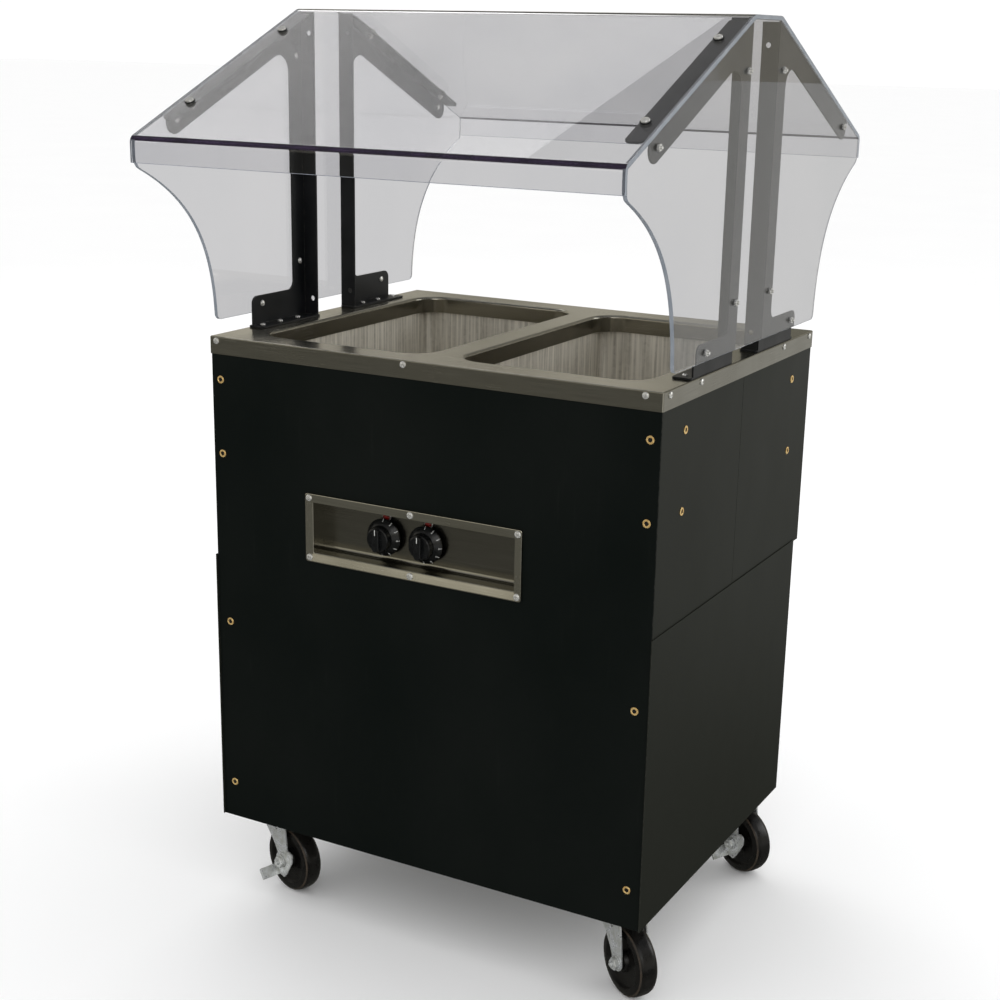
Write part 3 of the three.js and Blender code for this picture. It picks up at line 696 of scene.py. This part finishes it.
def apron_screws():
    """Chrome screws with a cross recess along the worktop's apron, on all four sides."""
    z = TOP - mm(7)
    spots = [facing((x, sign * top_high.y, z), (0, sign, 0), 0.4 * i)
             for sign in (-1, 1) for i, x in enumerate(mm(-373, -30, 359))]
    spots += [facing((sign * top_high.x, y, z), (sign, 0, 0), 0.5 * i)
              for sign in (-1, 1) for i, y in enumerate(mm(-283, -173, 166, 286))]
    piece("apron_screws", copies(cross_head(*mm(5, 2.8)), spots), "chrome_fastener")


def panel_rivets():
    """Brass-coloured rivet nuts that hold the cabinet's sheets, each with a dark plug in its bore as painted
    shade.
    """
    upper, lower, lower_x = mm(887, 768), mm(487, 202), mm(362)
    front = box("front_panel")[0].y
    rear = [box(f"rear_{level}_panel")[1].y for level in ("upper", "lower")]
    spots = []
    for side, sx in SIDES.items():
        for sy, (upper_y, lower_y) in ((-1, (front, front)), (1, rear)):
            spots += [facing((sx * RIVET_X, upper_y, z), (0, sy, 0)) for z in upper]
            spots += [facing((sx * lower_x, lower_y, z), (0, sy, 0)) for z in lower]
        low, high, _ = box(f"side_panel_{side}_upper_front")
        x = high.x if sx > 0 else low.x
        spots += [facing((x, y, z), (sx, 0, 0)) for y in mm(-219, 219) for z in upper]
    ring = mm((3.4, -1), (3.4, 0.9), (3.9, 1.3), (5.6, 1.2), (6.2, 0.6), (6.2, -0.2), (3.4, -1))
    piece("rivet_nuts", copies(lathe(ring, sides=28), spots), "brass_fastener")
    # Painted shade: a dark plug sits in each bore for the shade in the hole.
    plug = mm((0, -0.5), (3.5, -0.5), (3.5, 0.25), (1.2, 0.4), (1, 0.1), (0, 0.1))
    piece("rivet_bores", copies(lathe(plug, sides=20), spots), "bore_painted_shade")


def bezel_screws():
    """Six chrome screws in the frame round the controls."""
    low, high, middle = box("control_bezel")
    inset = mm(7)
    spots = [facing((x, high.y - mm(2.4), z), (0, -1, 0), 0.3 + x * 9)
             for x in (low.x + inset, middle.x, high.x - inset) for z in (low.z + inset, high.z - inset)]
    piece("bezel_screws", copies(cross_head(*mm(5.4, 3.4)), spots), "chrome_fastener")


def guard_fasteners():
    """Button bolts on black washers through the canopy, and nuts outside each end panel."""
    spots, ends, inner, feet = [], [], [], []
    foot_top = box("guard_bracket_front_right")[0].z + mm(3)
    for sx, sy in CORNERS.values():
        for y in mm(128, 358):
            normal = (0, sy * sin(SLOPE_ANGLE), cos(SLOPE_ANGLE))
            spots.append(facing((sx * BOLT_X, sy * y, canopy_high.z - SLOPE * (y - RIDGE)), normal))
        for y, z in mm((71, 1372), (71, 1048), (175, 990), (370, 1281)):
            ends.append(facing((sx * panel_high.x, sy * y, z), (sx, 0, 0), y * 40))
            inner.append(facing((sx * (panel_low.x - mm(3.3)), sy * y, z), (-sx, 0, 0), z * 7))
        feet += [facing((sx * RIVET_X, sy * y, foot_top), (0, 0, 1), y * 60) for y in mm(97, 145, 192)]
    below = [spot @ shift(z=-SHEET - mm(3.4)) @ turn(180) for spot in spots]
    washer = lathe(mm((0, 0), (8, 0), (8, 0.8), (7.4, 1.1), (0, 1.1)), sides=28)
    piece("canopy_washers", copies(washer, spots), "black_washer")
    head = [(0, mm(1))] + [(r, z + mm(1)) for r, z in dome(*mm(6.4, 4.2))]
    inside_head = [(0, 0)] + dome(*mm(5, 3))
    for name, fastener, places in (
        ("canopy_bolts", lathe(head, sides=32), spots),
        ("canopy_nuts", hex_nut(*mm(5.6, 4.6, 2.6)), below),
        ("end_panel_nuts", hex_nut(*mm(5.4, 3.8, 2.6)), ends),
        ("end_panel_bolts", lathe(inside_head, sides=28), inner),
        ("bracket_foot_screws", cross_head(*mm(4.4, 2.8)), feet),
    ):
        piece(name, copies(fastener, places), "chrome_fastener")


# ---- food guard


def under(y):
    """Height of what stands under the canopy at y from the middle."""
    return canopy_high.z - SHEET / cos(SLOPE_ANGLE) - SLOPE * (abs(y) - RIDGE) - GUARD_GAP


def mirrored(right):
    """The outline's right half with its left half."""
    return right + [(-point[0], *point[1:]) for point in reversed(right)]


def canopy():
    """One clear sheet bent at the ridge and at both lips."""
    lip = canopy_high.y
    lip_top = canopy_high.z - SLOPE * (lip - RIDGE)
    outer, inner, cut = mm(12, 6, 0.6)
    outline = eased(mirrored([
        (RIDGE, canopy_high.z, outer * 2), (lip, lip_top, outer), (lip, canopy_low.z, cut),
        (lip - SHEET, canopy_low.z, cut), (lip - SHEET, under(lip - SHEET) + GUARD_GAP, inner),
        (INNER_RIDGE, canopy_high.z - SHEET, inner * 4),
    ]))

    def cut_edge(face):
        return abs(face.normal.x) > 0.3 or face.center.z < canopy_low.z + mm(0.7)

    def bend(face):
        return 0.6 < abs(face.normal.y) < 0.9 and abs(face.normal.x) < 0.3

    # Its cut edges take a painted glow and its bends a painted dark line.
    piece("canopy_sheet", plate([outline], canopy_high.x - canopy_low.x, across(canopy_low.x), cut),
          "clear_acrylic", "guard_canopy", smooth=24, rim=[("painted_edge_glow", cut_edge), ("dark_bend", bend)])


def guard_panel(side):
    """A clear end panel that sweeps in from under the canopy to a narrow foot."""
    foot_y, foot_corner, waist_y = mm(286, 10, 345)
    foot = panel_low.z
    waist_z, shoulder, tip_z = foot + mm(193), foot + mm(240), foot + mm(258)
    tip = panel_high.y
    edge = arc(foot_y - foot_corner, foot + foot_corner, foot_corner, -90, 0)
    sweep = bezier(28, (foot_y, foot + foot_corner), (foot_y + mm(6), foot + mm(128)), (waist_y, waist_z),
                   (tip - mm(10), shoulder))
    crook = [(tip - mm(4), shoulder + mm(3.5)), (tip - mm(1), shoulder + mm(8))]
    outline = mirrored(edge + sweep + crook + [(tip, tip_z), (tip, under(tip)), (INNER_RIDGE, panel_high.z)])
    low = box(f"guard_panel_{side}")[0]
    # Its cut edges take a painted glow.
    piece(f"end_panel_{side}", plate([outline], SHEET, across(low.x)), "clear_acrylic",
          f"guard_panel_{side}", smooth=24, rim=[("painted_edge_glow", lambda face: abs(face.normal.x) < 0.9)])


def guard_bracket(corner, sx, sy):
    """A folded plate bracket: web with foot, post and arm, and flanges turned in from its edges."""
    name = f"guard_bracket_{corner}"
    low, high, _ = box(name)
    thick, flange, post, arm_width = mm(3, 28, 35, 35)
    base = low.z
    outer = max(abs(low.x), abs(high.x))
    arm_end = mm(381)
    cosine, sine = cos(SLOPE_ANGLE), sin(SLOPE_ANGLE)
    cap = arm_width / 2
    end = Vector((arm_end + cap * cosine, under(arm_end) - cap * sine))
    below = end + Vector((-sine, -cosine)) * arm_width
    post_y = RIDGE + post
    arm_under = below.y + SLOPE * (below.x - post_y)
    foot_y, foot_top = mm(200), base + mm(48)
    outline = eased([
        (RIDGE, base, 0), (foot_y, base, 0), (foot_y, foot_top, mm(12)), (post_y, foot_top, mm(14)),
        (post_y, arm_under, mm(26)), (below.x, below.y, cap * 0.98), (end.x, end.y, cap * 0.98),
        (RIDGE, under(RIDGE), 0),
    ])
    web = plate([outline], thick, across(outer - thick))
    foot = plate([rounded(*mm(30, 159, 5), outer - mm(15), mm(129.5))], thick, shift(z=base))
    # The post's flange stands on the web's inner edge, with two holes.
    middle, height = (base + under(RIDGE)) / 2, under(RIDGE) - mm(1.5) - base
    strip = rounded(flange, height, mm(1), outer - flange / 2, middle - mm(0.8))
    holes = [circle(BOLT_X, z, mm(4)) for z in mm(985, 1407)]
    upright = plate([strip] + holes, thick, rearwards(RIDGE))
    length, round_end = mm(372, 9)
    strip = rounded(flange, length, round_end, outer - flange / 2, length / 2 + round_end)
    down_slope = Matrix((
        (1, 0, 0, 0), (0, cosine, -sine, RIDGE), (0, -sine, -cosine, under(RIDGE)), (0, 0, 0, 1)))
    whole = merged(web, foot, upright, plate([strip], thick, down_slope))
    piece(f"bracket_{corner}", moved(whole, Matrix.Diagonal((sx, sy, 1, 1))), "black_powder_coat", name)


# ---- controls


def dial_marks(matrix, skirt):
    """Numbers 1 to 9 and a tick by each, raised on the skirt's slope."""
    parts = []
    for number in range(1, 10):
        stand = matrix @ turn(28 - number * 30, "Z") @ shift(0, skirt - mm(2.9), mm(5.6)) @ turn(-40)
        parts.append(from_curve(stand @ shift(z=mm(0.1)), kind="FONT", body=str(number), size=mm(5.4),
                                extrude=mm(0.12), align_x="CENTER", align_y="CENTER"))
        tick = rounded(*mm(0.7, 1.6, 0.2, 0, 3.4), 1)
        parts.append(plate([tick], mm(0.3), stand, mm(0.1)))
    return parts


def knob(side):
    """A dial knob: a skirt, a round hub with upright ribs round it and a raised finger grip with a pointer line.
    """
    node = f"knob_{side}"
    _, high, middle = box(node)
    matrix = shift(middle.x, high.y, middle.z) @ turn(90)
    skirt, hub, height, grip = 29.4, 19.5, 21, 27.4
    parts = [
        lathe(mm((0, 0), (skirt - 0.6, 0), (skirt, 0.6), (skirt, 2.6), (skirt - 0.5, 3.3), (skirt - 6, 8),
                 (hub + 1.6, 9), (hub + 0.4, 10.2), (hub, height - 3), (hub - 0.8, height - 1),
                 (hub - 2.4, height), (0, height)), matrix, 72),
        plate([rounded(*mm(12, 2 * hub - 2, 5.4))], mm(grip - 9), matrix @ shift(z=mm(9)), mm(1.4)),
    ]
    parts += [moved(tube(mm((hub + 0.1, 0, 10), (hub - 0.2, 0, height - 3)), mm(0.9)),
                    matrix @ turn(20 * i, "Z")) for i in range(18)]
    piece(f"dial_{side}", parts, "black_phenolic", node, node)
    line = rounded(*mm(1.2, 9, 0.4, 0, hub - 6.5), 2)
    pointer = plate([line], mm(0.3), matrix @ shift(z=mm(grip - 0.1)), mm(0.1))
    piece(f"dial_marks_{side}", dial_marks(matrix, mm(skirt)) + [pointer], "dial_marking", body=node)


def bezel():
    """The dished frame round the recessed controls: faces that slope in to the box, with eased edges."""
    low, high, middle = box("control_bezel")
    box_low, box_high, _ = box("control_box")
    wall = mm(1.2)
    width, height = high.x - low.x, high.z - low.z
    narrower = width - (box_high.x - box_low.x - 2 * wall)
    lower = height - (box_high.z - box_low.z - 2 * wall)
    rings = []
    for share, proud in ((0, 0), (0, 3.2), (0.02, 3.7), (0.06, 4), (0.12, 4), (0.9, 1.6), (0.97, 1.5),
                         (1, 1), (1, 0)):
        outline = rounded(width - share * narrower, height - share * lower, mm(4 - 3 * share),
                          middle.x, middle.z)
        rings.append([(px, high.y - mm(proud), pz) for px, pz in outline])
    # The frame's steel is painted lighter than the rest: a painted highlight.
    piece("bezel_frame", skin(rings, closed=True), "bezel_steel_painted_light", "control_bezel")


def recess_fold():
    """The bend along the foot of the recessed box, which catches the light from above."""
    low, high, _ = box("control_box")
    wall, radius = mm(1.2), mm(6)
    back, floor = high.y - wall, low.z + wall
    profile = [(back - radius + radius * sin(a), floor + radius - radius * cos(a))
               for a in angles(0, 90, 8)] + [(back - mm(0.1), floor + mm(0.1))]
    strip = skin([[(x, y, z) for y, z in profile] for x in (low.x + wall, high.x - wall)], cap=[0, -1])
    piece("recess_fold", strip, "brushed_stainless")


def pilot_light(side):
    """A domed red lens in a thin chrome ring, with its barrel through the box."""
    node = f"pilot_light_{side}"
    low, high, middle = box(node)
    back = box("control_box")[1].y - mm(1.2)
    matrix = shift(middle.x, back, middle.z) @ turn(90)
    radius = mm(6)
    barrel = radius - mm(0.8)
    lens = [(0, back - high.y), (barrel, back - high.y), (barrel, -mm(1.5))]
    lens += dome(radius - mm(0.4), back - low.y)
    piece(f"pilot_lens_{side}", lathe(lens, matrix, 36), "red_lens", node)
    ring = mm((5.5, 0), (5.7, 1.4), (6.8, 1.2), (7.2, 0.4), (7.2, 0), (5.5, 0))
    piece(f"pilot_ring_{side}", lathe(ring, matrix, 36), "chrome_fastener")


# ---- power cord


def power_cord():
    """The cord, its strain relief, the plug and the hook it hangs on, all on the rear."""
    grip_low, _, grip = box("cord_grip")
    relief = [(5.4, 0), (15, 0), (15, 4), (14, 5), (11.5, 5.4)]
    for i in range(4):
        step, shrink = 7 + 3.6 * i, 0.35 * i
        relief += [(11 - shrink, step - 1.2), (11 - shrink, step + 0.8),
                   (9.8 - shrink, step + 1.2), (9.8 - shrink, step + 2)]
    relief += [(9, 21.6), (5.4, 22), (5.4, 0)]
    outward = shift(grip.x, grip_low.y, grip.z) @ turn(-90)
    piece("strain_relief", lathe(mm(*relief), outward, 32), "black_phenolic", "cord_grip")

    cord_low, cord_high, _ = box("power_cord")
    _, plug_high, plug_middle = box("power_plug")
    hook_low, hook_high, hook_middle = box("cord_hook")
    radius = mm(5)
    y, bottom, over = cord_high.y - radius, cord_low.z + radius, hook_high.z - mm(4)
    hang_x, hook_x = plug_middle.x, hook_middle.x
    rise_x = 2 * hook_x - hang_x
    path = [(grip.x, cord_low.y, grip.z), (grip.x, y, grip.z), (grip.x - mm(4), y, bottom),
            (rise_x, y, bottom), (rise_x, y, over), (hang_x, y, over), (hang_x, y, plug_high.z)]
    piece("cord", tube(path, radius, mm(45), 14), "black_rubber", "power_cord")

    bar, rise = mm(4, 16)
    reach, hook_z = hook_high.y - bar, hook_low.z + rise
    hook = tube([(hook_x, hook_low.y, hook_z), (hook_x, reach, hook_z), (hook_x, reach, hook_high.z)],
                bar, mm(10))
    back = rounded(hook_high.x - hook_low.x, 2 * rise, mm(4), hook_x, hook_z)
    piece("hanger_hook", [hook, plate([back], mm(2.7), rearwards(hook_low.y))], "zinc_plate", "cord_hook")

    down = shift(hang_x, y, plug_high.z) @ turn(180)
    body = [(0, 0), (7, 0), (7.6, 2)]
    for i in range(3):
        body += [(8.2 + i, 4 + 4 * i), (8.4 + i, 6 + 4 * i), (7.8 + i, 6.6 + 4 * i)]
    body += [(13, 20), (16, 27), (16, 36), (15, 38), (0, 38)]
    piece("plug", lathe(mm(*body), down, 36), "black_rubber", "power_plug")
    pins = [lathe(mm((0, 37), (2.4, 37), (2.4, 56), (1.2, 58), (0, 58)), down @ shift(y=-mm(7)), 20)]
    pins += [plate([rounded(*mm(1.6, 6.6, 0.4, x, 2.6))], mm(18), down @ shift(z=mm(37.5)), mm(0.3))
             for x in (-6.5, 6.5)]
    piece("plug_pins", pins, "brass_fastener")


# ---- casters


def caster(corner):
    """Plate, swivel fork, moulded wheel, axle and, on two of them, the brake pedal."""
    pivot = Vector(JOINTS[f"caster_{corner}_swivel"]["pos_m"])
    hub = Vector(JOINTS[f"wheel_{corner}_spin"]["pos_m"])
    arm = hub - pivot
    trail, rim = hypot(arm.x, arm.y), hub.z
    mount = shift(pivot.x, pivot.y)
    swivel = mount @ Matrix.Rotation(atan2(arm.y, arm.x), 4, "Z")
    sideways = swivel @ shift(trail, 0, rim) @ turn(90)  # local z runs along -y of the fork
    race = box(f"caster_fork_{corner}")[1].z
    caster_plate(corner, mount, race)
    caster_fork(corner, swivel, trail, rim, race)
    caster_wheel(corner, sideways, rim * 1000)
    caster_axle(corner, sideways)
    if corner in BRAKED:
        brake_pedal(corner, sideways)


def raised(z, *profile):
    """A profile in millimetres whose heights start at z."""
    return [(mm(radius), z + mm(height)) for radius, height in profile]


def caster_plate(corner, mount, race):
    """The top plate with its four bolts, the cup over the ball race and the pin through it."""
    node = f"caster_plate_{corner}"
    low, high, _ = box(node)
    thick = mm(4)
    seat = high.z - thick
    flat = plate([rounded(*mm(100, 84, 8))], thick, mount @ shift(z=seat))
    cup = raised(race, (0, 0.3), (26, 0.3), (27, 1.4), (27, 5)) + raised(seat, (24.5, 0), (0, 0))
    pin = raised(low.z, (0, 0), (7.4, 0), (9, 1.6), (9, 4.2), (5, 5)) + raised(race, (5, 0.4), (0, 0.4))
    spots = [mount @ facing((x, y, seat), (0, 0, -1), x * 30) for x in mm(-40, 40) for y in mm(-33, 33)]
    bolts = copies(hex_nut(*mm(6.4, 4.6, 2.8)), spots)
    parts = [flat, lathe(cup, mount), lathe(pin, mount, 32), bolts]
    piece(f"swivel_plate_{corner}", parts, "zinc_plate", node)


def caster_fork(corner, swivel, trail, rim, race):
    """Two pressed legs, the bridge between them and the lower race, with a slot in each leg."""
    inner, leg, half_top, tip = mm(22, 3, 26, 13)
    top = race - mm(3.7)
    corner_x = mm(1) - half_top
    back = bezier(14, (corner_x, top - mm(12)), (mm(-14), top - mm(30)),
                  (trail - tip - mm(2), rim + mm(26)), (trail - tip, rim))
    front = bezier(14, (trail + tip, rim), (trail + tip - mm(1), rim + mm(22)),
                   (trail + mm(9), top - mm(30)), (trail + mm(3), top))
    outline = [(corner_x, top), (corner_x, top - mm(12))] + back
    outline += arc(trail, rim, tip, 180, 360, 12)[1:] + front
    slot = rounded(*mm(6, 16, 2.8, 18), top - mm(19))
    hole = circle(trail, rim, mm(6.4))
    parts = [plate([outline, slot, hole], leg, swivel @ turn(90) @ shift(z=z)) for z in (inner, -inner - leg)]
    bridge = rounded(2 * half_top, 2 * (inner + leg), mm(5), mm(1))
    parts.append(plate([bridge, circle(0, 0, mm(5.7))], leg, swivel @ shift(z=top - leg), mm(1)))
    lower_race = raised(race, (5.7, -5.7), (26, -4.7), (26, -1.2), (24.5, 0), (5.7, 0), (5.7, -5.7))
    parts.append(lathe(lower_race, swivel))
    piece(f"fork_{corner}", parts, "zinc_plate", f"caster_fork_{corner}", f"caster_swivel_{corner}")


def caster_wheel(corner, sideways, rim):
    """A moulded wheel of radius rim in millimetres: a crowned tread, dished faces and a raised hub."""
    half, bore, hub = 17, 6.35, 16
    face = [
        (bore, half + 2.3), (10, half + 2.3), (10.4, half + 1.6), (hub - 1.4, half + 1.4), (hub, half),
        (hub + 1.6, half - 5.2), (hub + 4, half - 6), (rim - 20, half - 6), (rim - 17.4, half - 5),
        (rim - 14.6, half - 0.6), (rim - 13, half), (rim - 5, half - 1.6), (rim - 2, half - 4),
        (rim - 0.5, half - 8), (rim, half - 12),
    ]
    other = [(radius, -height) for radius, height in reversed(face)]
    body = lathe(mm(*face, *other, face[0]), sideways, 72)
    piece(f"wheel_{corner}_body", body, "caster_tread", f"caster_wheel_{corner}", f"wheel_{corner}")
    # Painted highlight: a tan ring on each shoulder stands in for the brownish light along the wheel's rim.
    highlight_ring = [(rim - 4.6, half - 1.75), (rim - 4.2, half - 1.5), (rim - 2.1, half - 3.6), (rim - 2.4, half - 4),
            (rim - 4.6, half - 1.75)]
    highlight_rings = [lathe(mm(*[(radius, side * height) for radius, height in highlight_ring]), sideways, 72)
             for side in (-1, 1)]
    piece(f"wheel_{corner}_band", highlight_rings, "tan_band", body=f"wheel_{corner}")


def caster_axle(corner, sideways):
    """The axle bolt, its washers, hexagon head and lock nut."""
    leg_outer, radius, head = 25, 6, 10.4
    tip = leg_outer + (6 if corner in BRAKED else 2.4)
    rod = lathe(mm((0, -leg_outer - 1), (radius, -leg_outer - 1), (radius, tip), (0, tip)), sideways, 32)
    far = sideways @ shift(z=mm(-leg_outer - 0.3)) @ turn(180)
    near = sideways @ shift(z=mm(tip - 2.1))
    washer = lathe(mm((0, 0), (11.6, 0), (11.6, 1), (11, 1.4), (0, 1.4)), near, 36)
    parts = [rod, moved(hex_nut(*mm(head, 5, 0.3)), far),
             moved(hex_nut(*mm(head, 6.4, 4)), near @ shift(z=mm(1.2))), washer]
    piece(f"axle_{corner}", parts, "zinc_plate", f"caster_axle_{corner}", f"caster_swivel_{corner}")


def brake_pedal(corner, sideways):
    """A pressed pedal on the axle, with a heel lobe and a foot tab bent outwards."""
    near, thick, tab = mm(25.3, 3, 35.7)
    matrix = sideways @ shift(z=near)
    lobe = eased(mm((-15, 6, 3), (-9, 15, 4), (8, 16, 6), (20, 25, 5), (30, 21, 6), (29, 6, 10),
                    (15, -18, 6), (7, -28, 3), (-4, -25, 0), (-15, -9, 0)), 5)
    step = eased(mm((-15, -9, 0), (-4, -25, 0), (-8, -28, 1.2), (-19, -12, 1.2)), 4)
    parts = [plate([lobe, circle(0, 0, mm(6.4))], thick, matrix), plate([step], tab, matrix, mm(0.9))]
    parts += [moved(tube(mm((-18.4, -13.2, z), (-9, -27, z)), mm(0.9)), matrix) for z in range(9, 30, 5)]
    piece(f"pedal_{corner}", parts, "zinc_plate", f"brake_pedal_{corner}", f"brake_{corner}")


# ---- stage, light and camera

SURROUND = 1.04  # brightness of the white surround
THROUGH = (0.67, 0.67, 0.67, 1)  # what the clear sheets show behind them; on the floor this grey is a painted glow
WHITE = (1, 1, 1, 1)


def stage():
    """A wide pale floor. In reflections it glows as a painted reflection, darker in front, and through the clear
    sheets it glows a soft grey as painted light.
    """
    look = Look("studio_floor", Roughness=0.9, Specular_IOR_Level=0.1)
    pale = look.tint(look.between(look.noise(800)), (0.975, 0.975, 0.975, 1), (0.962, 0.962, 0.964, 1))
    look.show(Base_Color=pale)
    aside = look.between(look.axis(look.place, 0), 0, 1, 0.7, 1.6)
    behind = look.between(look.axis(look.place, 1), 0, 1, 0.5, 1.5)
    # Painted reflection: reflections see the floor glowing in these tones, not lit.
    nearby = look.tint(behind, (0.095, 0.094, 0.084, 1), (0.2, 0.2, 0.19, 1))
    reflected = look.tint(aside, nearby, (0.54, 0.537, 0.515, 1))
    look.finish(look.seen_past(
        look.shader, look.node("Emission", Color=THROUGH), look.node("Emission", Color=reflected)))
    bm = bmesh.new()
    bmesh.ops.create_grid(bm, x_segments=4, y_segments=4, size=60)
    mesh = bpy.data.meshes.new("floor")
    bm.to_mesh(mesh)
    bm.free()
    mesh.materials.append(look.material)
    linked("floor", mesh)


def studio_light():
    """An even white surround, grey through the clear sheets, and dim and warm in low reflections."""
    world = bpy.data.worlds.new("studio")
    world.use_nodes = True
    bpy.context.scene.world = world
    sky = Nodes(world.node_tree)
    shown = sky.tree.nodes["Background"]
    sky.feed(shown, Color=WHITE, Strength=SURROUND)
    direction = sky.node("TexCoord").outputs["Generated"]
    overhead = sky.between(sky.axis(direction, 2), 0, 1, 0.3, 0.72)
    # A direction has length 1, so a size of 200 is a fifth of that.
    banded = sky.between(sky.noise(200, (1, 1, 6.25), 2.0, direction), 0, 1, 0.38, 0.62)
    low = sky.tint(banded, (0.15, 0.143, 0.115, 1), (0.62, 0.59, 0.51, 1))
    high = sky.tint(banded, (0.12, 0.12, 0.12, 1), (0.3, 0.3, 0.3, 1))
    reflected = sky.node("Background", Color=sky.tint(overhead, low, high), Strength=1.0)
    through = sky.node("Background", Color=WHITE, Strength=THROUGH[0])
    surface = sky.seen_past(shown, through, reflected)
    sky.feed(sky.tree.nodes["World Output"], Surface=surface.outputs[0])
    target = Vector((0, 0, 0.8))
    panels = {
        "key": ((-3.6, 3.0, 4.6), (3.4, 2.6), 42),
        "fill": ((2.6, -3.6, 2.6), (2.6, 2.0), 16),
        "rear": ((3.6, 2.6, 2.2), (2.4, 2.4), 30),
    }
    for name, (place, size, power) in panels.items():
        light = having(bpy.data.lights.new(name, "AREA"), shape="RECTANGLE", size=size[0], size_y=size[1],
                       energy=power)
        aim = (target - Vector(place)).to_track_quat("-Z", "Y").to_euler()
        linked(name, light, location=place, rotation_euler=aim, visible_glossy=name != "key")


def camera():
    """The camera stands right of the front corner, looking down on the worktop."""
    yaw, pitch, roll = 28.54, 16.21, 1.18
    data = having(bpy.data.cameras.new("camera"), sensor_width=36, lens=59.97, shift_x=-0.0096,
                  shift_y=0.0226, clip_end=200)
    place = shift(1.2592, -2.3387, 1.4092) @ turn(yaw, "Z") @ turn(90 - pitch) @ turn(roll, "Z")
    bpy.context.scene.camera = linked("camera", data, matrix_world=place)


def render_choices():
    scene = bpy.context.scene
    scene.view_settings.view_transform = "Standard"
    having(scene.cycles, transparent_max_bounces=32, max_bounces=16, transmission_bounces=16,
           use_denoising=True)


dress_nodes()
recess_fold()
bezel()
seam_straps()
worktop()
for name in SIDES:
    well_liner(name)
    heating_element(name)
    knob(name)
    pilot_light(name)
    guard_panel(name)
for name, (x_sign, y_sign) in CORNERS.items():
    guard_bracket(name, x_sign, y_sign)
    caster(name)
canopy()
power_cord()
apron_screws()
panel_rivets()
bezel_screws()
guard_fasteners()
stage()
studio_light()
camera()
render_choices()
